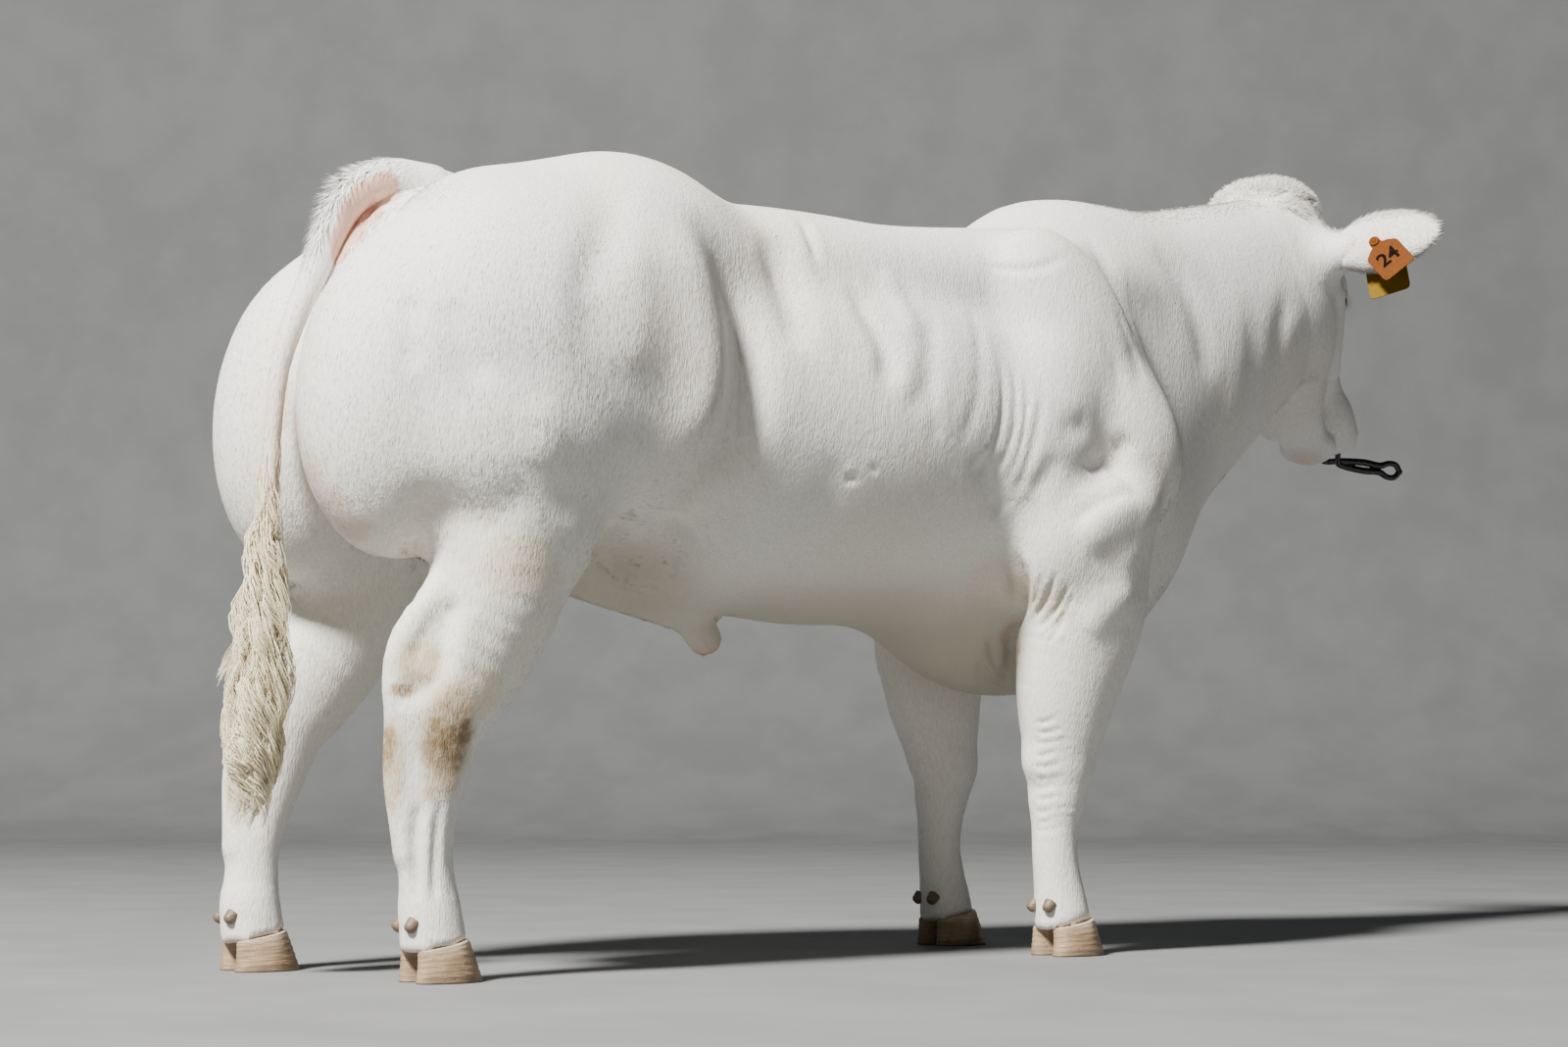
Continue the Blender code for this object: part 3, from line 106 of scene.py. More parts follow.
class Clay:  # masses of flesh, blended in order into one field of distances
    def __init__(self):
        self.steps = []

    def blend(self, distanceOf, low, high, soft, carve=False):
        margin = 2.0 * soft + 0.02
        self.steps.append((distanceOf, np.array(low) - margin, np.array(high) + margin, soft,
                           -1.0 if carve else 1.0))

    def lump(self, middle, radii, turn=(0, 0, 0), soft=0.04, base=None, carve=False):
        place = (base or Matrix()) @ Matrix.Translation(middle)
        place = place @ Euler([math.radians(a) for a in turn]).to_matrix().to_4x4()
        inverse = np.array(place.inverted())
        radii = np.array(radii, float)
        reach = np.sqrt(((np.array(place)[:3, :3] * radii) ** 2).sum(1))
        middle = np.array(place.translation)

        def distanceOf(points):
            local = points @ inverse[:3, :3].T + inverse[:3, 3]
            near = np.sqrt(((local / radii) ** 2).sum(-1))
            slope = np.sqrt(((local / radii**2) ** 2).sum(-1))
            return near * (near - 1.0) / np.maximum(slope, 1e-6)

        self.blend(distanceOf, middle - reach, middle + reach, soft, carve)

    def limb(self, start, end, startRadius, endRadius, flat=1.0, flatAxis=(0, 1, 0),
             soft=0.03, base=None, carve=False):
        place = base or Matrix()
        a, b = np.array(place @ Vector(start)), np.array(place @ Vector(end))
        squeeze = np.array((place.to_3x3() @ Vector(flatAxis)).normalized())
        along = b - a
        length2 = float(along @ along)
        widest = max(startRadius, endRadius)

        def distanceOf(points):
            rel = points - a
            t = np.clip((rel @ along) / length2, 0.0, 1.0)
            off = rel - t[..., None] * along
            side = off @ squeeze
            off = off + (side * (1.0 / flat - 1.0))[..., None] * squeeze
            radius = startRadius + (endRadius - startRadius) * t
            return (np.sqrt((off**2).sum(-1)) - radius) * min(1.0, flat)

        self.blend(distanceOf, np.minimum(a, b) - widest, np.maximum(a, b) + widest, soft, carve)

    def chain(self, stations, flatAxis=(0, 1, 0), soft=0.03, base=None, carve=False, steps=3):
        # Each station is a point, a radius and, where it isn't round, its flatness
        place = base or Matrix()
        rows = []
        for point, radius, *flat in stations:
            rows.append((*(place @ Vector(point)), radius, *(flat or [1.0])))
        rows = smoothRows(np.array(rows), steps)
        squeeze = np.array((place.to_3x3() @ Vector(flatAxis)).normalized())

        def distanceOf(points):
            nearest = np.full(points.shape[:-1], farAway)
            for start, end in zip(rows, rows[1:]):
                rel = points - start[:3]
                along = end[:3] - start[:3]
                t = np.clip((rel @ along) / float(along @ along), 0.0, 1.0)
                off = rel - t[..., None] * along
                flat = start[4] + (end[4] - start[4]) * t
                side = off @ squeeze
                off = off + (side * (1.0 / flat - 1.0))[..., None] * squeeze
                radius = start[3] + (end[3] - start[3]) * t
                nearest = np.minimum(nearest, np.sqrt((off**2).sum(-1)) - radius)
            return nearest

        reach = rows[:, 3:4]
        self.blend(distanceOf, (rows[:, :3] - reach).min(0), (rows[:, :3] + reach).max(0), soft, carve)

    def distances(self, points):  # how far each point is outside the flesh
        field = np.full(len(points), farAway)
        for distanceOf, low, high, soft, side in self.steps:
            near = np.flatnonzero(((points > low) & (points < high)).all(1))
            if len(near):
                field[near] = mixed(field[near], distanceOf(points[near]), soft, side)
        return field

    def surface(self, low, high, step, depth):  # its points and quads, depth inside the flesh
        low = np.array(low, float)
        counts = np.ceil((np.array(high, float) - low) / step).astype(int) + 1
        axes = [low[i] + step * np.arange(counts[i]) for i in range(3)]
        field = np.full(counts, farAway, np.float32)
        for distanceOf, lowest, highest, soft, side in self.steps:
            part = tuple(slice(*np.searchsorted(axis, ends))
                         for axis, ends in zip(axes, zip(lowest, highest)))
            if all(one.start < one.stop for one in part):
                grid = np.meshgrid(*(axis[one] for axis, one in zip(axes, part)), indexing="ij")
                field[part] = mixed(field[part], distanceOf(np.stack(grid, -1)), soft, side)
        block = openvdb.FloatGrid(farAway)
        block.copyFromArray(field + np.float32(depth))
        points, quads = block.convertToQuads(0.0)
        return points * step + low, quads

    def pull(self, points, depth, farthest=0.012):  # moves points onto that surface
        step = 0.0008
        for _ in range(2):
            here = self.distances(points)
            slope = [self.distances(points + step * axis) - here for axis in np.eye(3)]
            slope = np.stack(slope, 1) / step
            steep = np.maximum((slope**2).sum(1), 0.3)
            move = ((here + depth) / steep)[:, None] * slope
            size = np.linalg.norm(move, axis=1, keepdims=True)
            points = points - move * np.minimum(1.0, farthest / np.maximum(size, 1e-9))
        return points


def mixed(old, new, soft, side):  # joins a mass to the field or carves it out, with a soft fillet
    old = side * old
    mix = np.clip(0.5 + 0.5 * (old - new) / soft, 0.0, 1.0)
    return side * (old * (1.0 - mix) + new * mix - soft * mix * (1.0 - mix))


def otherSide(point):
    x, y, z = point
    return (x, -y, z)


def bothSides(lump, middle, radii, turn=(0, 0, 0), **more):  # a mass and its mirror image
    lump(middle, radii, turn=turn, **more)
    lump(otherSide(middle), radii, turn=(-turn[0], turn[1], -turn[2]), **more)


def shapeTrunk(clay):
    lump = clay.lump
    # Barrel, loin and chest
    lump((0.05, 0, 0.915), (0.56, 0.325, 0.345), soft=0.10)
    lump((-0.26, 0, 0.965), (0.40, 0.285, 0.30), turn=(0, -4, 0), soft=0.10)
    lump((0.45, 0, 0.87), (0.34, 0.260, 0.395), turn=(0, 6, 0), soft=0.10)
    lump((0.66, 0, 0.80), (0.20, 0.18, 0.24), turn=(0, 20, 0), soft=0.10)
    # Brisket, between the forelegs
    lump((0.50, 0, 0.60), (0.24, 0.11, 0.13), turn=(0, -4, 0), soft=0.08)
    # Back muscles, either side of the spine
    bothSides(lump, (-0.08, 0.12, 1.175), (0.50, 0.12, 0.10), soft=0.06)
    bothSides(lump, (0.38, 0.10, 1.19), (0.34, 0.11, 0.105), turn=(0, -4, 0), soft=0.06)
    # Withers
    lump((0.60, 0, 1.285), (0.17, 0.10, 0.088), soft=0.05)
    lump((0.62, 0, 1.215), (0.25, 0.11, 0.135), turn=(0, -4, 0), soft=0.08)
    # Underside of the belly, back to the groin
    lump((-0.28, 0, 0.80), (0.32, 0.20, 0.215), soft=0.06)
    # Sheath under the belly, and the scrotum tucked between the thighs
    clay.chain([((-0.36, 0, 0.650), 0.045, 0.7), ((-0.26, 0, 0.612), 0.045, 0.8),
                ((-0.198, 0, 0.582), 0.035, 0.9), ((-0.162, 0, 0.546), 0.034)], soft=0.03)
    lump((-0.50, 0, 0.655), (0.060, 0.050, 0.085), turn=(0, 8, 0), soft=0.03)


def shapeHindquarters(clay):
    lump = clay.lump
    # Rump, from the hips to the tail
    bothSides(lump, (-0.42, 0.15, 1.13), (0.25, 0.17, 0.20), turn=(0, 6, 0), soft=0.05)
    bothSides(lump, (-0.62, 0.13, 1.15), (0.20, 0.13, 0.14), turn=(0, -8, 0), soft=0.05)
    # Round of the thigh
    bothSides(lump, (-0.62, 0.19, 0.99), (0.275, 0.185, 0.27), soft=0.05)
    lump((-0.812, 0.16, 0.895), (0.172, 0.150, 0.275), turn=(0, 5, -4), soft=0.04)
    lump((-0.808, -0.155, 0.905), (0.172, 0.148, 0.265), turn=(0, 5, 4), soft=0.04)
    bothSides(lump, (-0.45, 0.235, 0.97), (0.165, 0.12, 0.25), turn=(0, -12, 6), soft=0.05)
    bothSides(lump, (-0.64, 0.215, 0.835), (0.215, 0.15, 0.165), turn=(0, -10, 0), soft=0.05)
    # Stifle and the fold of skin that runs from it to the flank
    bothSides(lump, (-0.595, 0.240, 0.725), (0.085, 0.085, 0.12), turn=(0, -10, 0), soft=0.05)
    for side in (1, -1):
        clay.limb((-0.54, 0.235 * side, 0.80), (-0.30, 0.20 * side, 0.81), 0.060, 0.050, soft=0.05)


def shapeNeck(clay):
    limb = clay.limb
    limb((0.62, 0, 1.03), (1.165, 0.065, 1.265), 0.30, 0.188, flat=0.64, soft=0.08)
    limb((0.66, 0, 0.88), (1.10, 0.065, 1.145), 0.245, 0.125, flat=0.66, soft=0.08)
    limb((0.74, 0, 1.235), (1.19, 0.08, 1.345), 0.12, 0.10, flat=0.8, soft=0.05)


def shapeShoulder(clay):
    lump = clay.lump
    # Shoulder blade, from the withers forward and down to the point of the shoulder
    bothSides(lump, (0.485, 0.200, 1.055), (0.140, 0.085, 0.25), turn=(0, -28, 0), soft=0.05)
    bothSides(lump, (0.60, 0.215, 0.90), (0.105, 0.085, 0.14), turn=(0, -20, 0), soft=0.05)
    # Muscles behind the blade and round the upper arm
    bothSides(lump, (0.375, 0.225, 0.90), (0.115, 0.085, 0.19), turn=(0, 12, 0), soft=0.05)
    bothSides(lump, (0.505, 0.250, 0.765), (0.135, 0.080, 0.085), turn=(0, -24, 0), soft=0.03)
    bothSides(lump, (0.415, 0.245, 0.72), (0.105, 0.080, 0.12), turn=(0, 10, 0), soft=0.04)
    # The hollow over the shoulder joint
    for side in (1, -1):
        clay.chain([((0.43, 0.345 * side, 0.925), 0.016), ((0.505, 0.350 * side, 0.865), 0.018),
                    ((0.58, 0.345 * side, 0.822), 0.014)], soft=0.035, carve=True)


# Each row of a leg: height, how far forward of its line, half its length, and width over length
hindLeg = [
    (0.720, +0.000, 0.122, 0.86),
    (0.620, -0.004, 0.115, 0.82),
    (0.530, +0.019, 0.103, 0.76),
    (0.455, +0.024, 0.093, 0.66),
    (0.400, +0.016, 0.078, 0.70),
    (0.350, +0.009, 0.066, 0.74),
    (0.304, +0.004, 0.058, 0.78),
    (0.250, -0.003, 0.050, 0.84),
    (0.188, -0.008, 0.0475, 0.86),
    (0.140, -0.004, 0.0495, 0.90),
    (0.108, -0.001, 0.0535, 0.94),
    (0.074, +0.004, 0.0550, 0.98),
    (0.040, +0.008, 0.0570, 1.00),
]
foreLeg = [
    (0.700, +0.000, 0.136, 0.72),
    (0.610, -0.001, 0.128, 0.72),
    (0.540, -0.006, 0.117, 0.74),
    (0.466, -0.0115, 0.101, 0.78),
    (0.418, -0.010, 0.089, 0.82),
    (0.370, -0.007, 0.0755, 0.88),
    (0.335, -0.003, 0.0690, 0.92),
    (0.310, -0.004, 0.0620, 0.94),
    (0.276, -0.009, 0.0560, 0.95),
    (0.227, -0.0115, 0.0470, 0.97),
    (0.179, -0.012, 0.0446, 0.98),
    (0.130, -0.005, 0.0470, 0.98),
    (0.090, +0.002, 0.0515, 0.98),
    (0.045, +0.008, 0.0550, 1.00),
]
# The tendon behind the hock: height, how far behind the leg's line, and its radius
heelTendon = [(0.63, 0.075, 0.034), (0.53, 0.108, 0.026), (0.465, 0.079, 0.031),
              (0.40, 0.0513, 0.030), (0.35, 0.0566, 0.027), (0.304, 0.0566, 0.026),
              (0.25, 0.049, 0.025), (0.20, 0.040, 0.0235)]


def legLine(leg, jointHeight, height):  # the middle of a leg at a height, before its rows' own bends
    foot, joint, top = Vector(leg["foot"]), Vector(leg["joint"]), Vector(leg["top"])
    if height > jointHeight:
        return joint.lerp(top, min(1.0, (height - jointHeight) / (legTop - jointHeight)))
    return foot.lerp(joint, max(0.0, (height - legFoot) / (jointHeight - legFoot)))


def shapeLeg(clay, leg, rows, jointHeight):
    stations = []
    for height, forward, radius, flat in rows:
        x, y = legLine(leg, jointHeight, height)
        stations.append(((x + forward, y, height), radius, flat))
    clay.chain(stations, soft=0.045)


def shapeHindLeg(clay, leg):
    shapeLeg(clay, leg, hindLeg, hockHeight)
    rows = []
    for height, behind, radius in heelTendon:
        x, y = legLine(leg, hockHeight, height)
        rows.append(((x - behind, y, height), radius, 0.9))
    clay.chain(rows, soft=0.024)


def shapeForeLeg(clay, leg):
    shapeLeg(clay, leg, foreLeg, kneeHeight)
    # The bone at the back of the knee
    x, y = leg["joint"]
    clay.lump((x - 0.045, y, kneeHeight + 0.005), (0.028, 0.030, 0.035), soft=0.03)


def shapeHead(clay):
    def lump(middle, radii, **more):
        clay.lump(middle, radii, base=head, **more)

    def pair(middle, radii, **more):
        bothSides(lump, middle, radii, **more)

    # Poll, skull, forehead and brow
    lump((0.003, 0.019, -0.063), (0.066, 0.110, 0.079), turn=(4, 0, 0), soft=0.04)
    lump((0.075, 0, -0.088), (0.110, 0.112, 0.085), soft=0.04)
    lump((0.160, 0, -0.070), (0.140, 0.116, 0.063), soft=0.03)
    pair((0.188, 0.098, -0.050), (0.052, 0.028, 0.028), turn=(0, 0, -10), soft=0.02)
    # Bridge of the nose and the muzzle
    clay.chain([((0.22, 0, -0.084), 0.076, 1.30), ((0.31, 0, -0.080), 0.066, 1.22),
                ((0.39, 0, -0.076), 0.058, 1.34), ((0.465, 0, -0.073), 0.055, 1.32)],
               soft=0.03, base=head)
    lump((0.492, 0, -0.070), (0.048, 0.082, 0.057), soft=0.018)
    pair((0.455, 0.054, -0.078), (0.058, 0.034, 0.044), soft=0.02)
    pair((0.508, 0.051, -0.054), (0.029, 0.030, 0.030), soft=0.015)
    # Cheeks, the ridge below the eye, and the jaw
    pair((0.215, 0.076, -0.158), (0.115, 0.046, 0.088), turn=(0, 18, 0), soft=0.03)
    pair((0.300, 0.052, -0.140), (0.090, 0.034, 0.058), turn=(0, 14, 0), soft=0.03)
    for side in (1, -1):
        clay.limb((0.18, 0.114 * side, -0.098), (0.34, 0.078 * side, -0.104), 0.023, 0.016,
                  soft=0.03, base=head)
    clay.chain([((0.17, 0, -0.195), 0.062, 1.25), ((0.29, 0, -0.188), 0.054, 1.2),
                ((0.39, 0, -0.174), 0.047, 1.55), ((0.465, 0, -0.150), 0.036, 1.6)],
               soft=0.03, base=head)
    lump((0.490, 0, -0.134), (0.042, 0.066, 0.033), soft=0.012)
    lump((0.360, 0.015, -0.200), (0.085, 0.065, 0.035), turn=(0, 14, 0), soft=0.04)
    # Line of the mouth, and the nostrils
    for side in (1, -1):
        clay.chain([((0.534, 0, -0.112), 0.0035), ((0.513, 0.048 * side, -0.112), 0.004),
                    ((0.472, 0.080 * side, -0.114), 0.005), ((0.428, 0.081 * side, -0.117), 0.005),
                    ((0.396, 0.074 * side, -0.112), 0.003)], soft=0.006, base=head, carve=True)
        clay.chain([((0.540, 0.024 * side, -0.060), 0.010), ((0.537, 0.043 * side, -0.050), 0.0115),
                    ((0.523, 0.063 * side, -0.045), 0.008), ((0.508, 0.078 * side, -0.054), 0.004)],
                   soft=0.006, base=head, carve=True)
    # Ear roots, and lids round each eye
    for side in (1, -1):
        shapeEarRoot(clay, earFrame(side))
    for side in (1, -1):
        out = Vector((0.06, side, 0.42)).normalized()
        middle = Vector((eye.x, side * eye.y, eye.z))
        lump(middle, (eyeRadius + 0.0055,) * 3, soft=0.014)
        lump(middle + 0.020 * out, (0.0205, 0.014, 0.0125), turn=(-8 * side, -14, 0), soft=0.004,
             carve=True)


def shapeTailRoot(clay):  # the tail's own surface goes on from inside the end of this
    end, radius = tail[2]
    clay.chain([*tail[:2], (end, radius - 0.006)], soft=0.03)
    # The bare skin under the arch of the tail
    clay.chain([((-0.66, 0, 1.200), 0.070), ((-0.740, 0, 1.195), 0.060),
                ((-0.795, 0, 1.155), 0.052), ((-0.832, 0, 1.095), 0.044),
                ((-0.845, 0, 1.02), 0.034, 0.9)], soft=0.03)


def shapeBody(clay):
    shapeTrunk(clay)
    shapeHindquarters(clay)
    shapeShoulder(clay)
    shapeNeck(clay)
    shapeTailRoot(clay)
    for name, leg in legs.items():
        shape = shapeHindLeg if name.startswith("hind") else shapeForeLeg
        shape(clay, leg)
    shapeHead(clay)
    for leg in legs.values():
        cutFoot(clay, leg)


def cutFoot(clay, leg):  # ends a leg a little inside the top of its hooves
    x, y = leg["foot"]
    normal = np.array(Vector((coronetSlope, 0, -1)).normalized())
    point = np.array((x + 0.012, y, coronetHeight - 0.008))
    clay.blend(lambda points: (point - points) @ normal,
               (x - 0.10, y - 0.10, -0.04), (x + 0.12, y + 0.10, 0.10), 0.003, carve=True)


def shapeEarRoot(clay, ear):
    clay.limb((-0.07, 0, 0), (0.050, 0, 0.001), 0.058, 0.040, base=ear, soft=0.045)


def shapeEar(clay, ear):  # in the ear's own frame: x to the tip, z out of its back
    clay.chain([((-0.010, 0, 0.001), 0.032, 0.85), ((0.050, 0, 0.002), 0.049, 0.66),
                ((0.100, 0, 0.002), 0.065, 0.42), ((0.150, 0, 0.000), 0.057, 0.34),
                ((0.190, 0, -0.003), 0.036, 0.32), ((0.215, 0, -0.006), 0.011, 0.60)],
               flatAxis=(0, 0, 1), soft=0.015, base=ear)
    clay.chain([((0.060, 0, -0.027), 0.025, 0.9), ((0.098, 0, -0.021), 0.049, 0.56),
                ((0.145, 0, -0.017), 0.047, 0.48), ((0.185, 0, -0.015), 0.029, 0.50),
                ((0.205, 0, -0.014), 0.009, 0.60)],
               flatAxis=(0, 0, 1), soft=0.006, base=ear, carve=True)


def earFrame(side):  # where an ear grows from the head, pointing out and a little up and forward
    up = intoHead @ Vector((0, 0, 1))
    back = intoHead @ Vector((-math.cos(headYaw), -math.sin(headYaw), 0))
    out = (Vector((0, side, 0)) + 0.18 * up - 0.15 * back).normalized()
    normal = back + 0.35 * up
    normal = (normal - normal.dot(out) * out).normalized()
    across = normal.cross(out)
    place = Matrix((out, across, normal)).transposed().to_4x4()
    place.translation = Vector((0.094, 0.130 * side, -0.113))
    return head @ place


# The camera stands low and close behind the bull's right hip
view = {"turn": 33, "away": 5.1, "height": 0.31, "lens": 67.5, "sensor": 36, "horizon": 793,
        "width": 1600, "tall": 1068}
focal = view["lens"] / view["sensor"] * view["width"]
lookUp = math.atan((view["horizon"] - view["tall"] / 2) / focal)
turnAngle = math.radians(view["turn"])
cameraPoint = Vector((-view["away"] * math.sin(turnAngle), -view["away"] * math.cos(turnAngle),
                      view["height"]))
forward = Vector((math.sin(turnAngle) * math.cos(lookUp), math.cos(turnAngle) * math.cos(lookUp),
                  math.sin(lookUp)))
rightward = Vector((math.cos(turnAngle), -math.sin(turnAngle), 0))
upward = rightward.cross(forward)


def rayThrough(u, v):  # the way that a point of the picture is seen
    aside, below = (u - view["width"] / 2) / focal, (v - view["tall"] / 2) / focal
    return (forward + rightward * aside - upward * below).normalized()


# What every piece is made with

def added(name, data):  # a new object in the scene
    made = bpy.data.objects.new(name, data)
    bpy.context.scene.collection.objects.link(made)
    return made


def newMesh(name, points, faces):  # an object from points and faces in the bull's own plan
    mesh = bpy.data.meshes.new(name)
    mesh.from_pydata(np.asarray(points, float).tolist(), [], [list(map(int, face)) for face in faces])
    mesh.update()
    return added(name, mesh)


def plainMesh(thing):  # the mesh that an object's curve or modifiers give
    graph = bpy.context.evaluated_depsgraph_get()
    return bpy.data.meshes.new_from_object(thing.evaluated_get(graph))


def painted(piece, material):
    piece.data.materials.clear()
    piece.data.materials.append(material)
    return piece


def chosenAlone(thing):  # for the operators that work on what is selected
    bpy.ops.object.select_all(action="DESELECT")
    thing.select_set(True)
    bpy.context.view_layer.objects.active = thing


def outward(piece, doubles=0.0):  # faces pointing out, once points closer than doubles are one
    mesh = bmesh.new()
    mesh.from_mesh(piece.data)
    if doubles:
        bmesh.ops.remove_doubles(mesh, verts=mesh.verts, dist=doubles)
    bmesh.ops.recalc_face_normals(mesh, faces=mesh.faces)
    mesh.to_mesh(piece.data)
    mesh.free()
    return piece


def tubeFaces(levels, around):  # the sides and ends of a tube made of rings of points
    faces = []
    for level in range(levels):
        for step in range(around):
            a, b = level * around + step, level * around + (step + 1) % around
            faces.append((a, b, b + around, a + around))
    return faces + [tuple(range(around))[::-1], tuple(levels * around + i for i in range(around))]


def turnedPiece(name, rows, place, around=32, doubles=0.0):  # as on a lathe, from (radius, height) rows
    points = []
    for radius, height in rows:
        for step in range(around):
            angle = 2 * math.pi * step / around
            point = Vector((radius * math.cos(angle), radius * math.sin(angle), height))
            points.append(tuple(place @ point))
    return outward(newMesh(name, points, tubeFaces(len(rows) - 1, around)), doubles)


def counted(piece):  # reports a piece's size
    faces = piece.data.polygons
    triangles = sum(len(face.vertices) - 2 for face in faces)
    print(piece.name + ":", len(faces), "faces,", triangles, "triangles")


def pointsOf(thing):
    points = np.zeros(len(thing.data.vertices) * 3)
    thing.data.vertices.foreach_get("co", points)
    return points.reshape(-1, 3)


def normalsOf(thing):
    normals = np.zeros(len(thing.data.vertices) * 3)
    thing.data.vertices.foreach_get("normal", normals)
    return normals.reshape(-1, 3)


def setPoints(thing, points):
    thing.data.vertices.foreach_set("co", points.astype(np.float32).ravel())
    thing.data.update()


def joined(name, things):  # one object from several
    chosenAlone(things[0])
    for thing in things[1:]:
        thing.select_set(True)
    bpy.ops.object.join()
    things[0].name = things[0].data.name = name
    return things[0]


# The skin

skinSizes = {"grid": 0.020, "coatDepth": 0.005, "tailGrid": 0.0085, "earGrid": 0.0055,
             "thinDepth": 0.003, "ease": 2, "low": (-1.10, -0.48, -0.03), "high": (1.50, 0.48, 1.62)}
headInverse = np.array(head.inverted())


def inHead(points):  # points in the head's own x down the face, y to its left and z out of the forehead
    return points @ headInverse[:3, :3].T + headInverse[:3, 3]


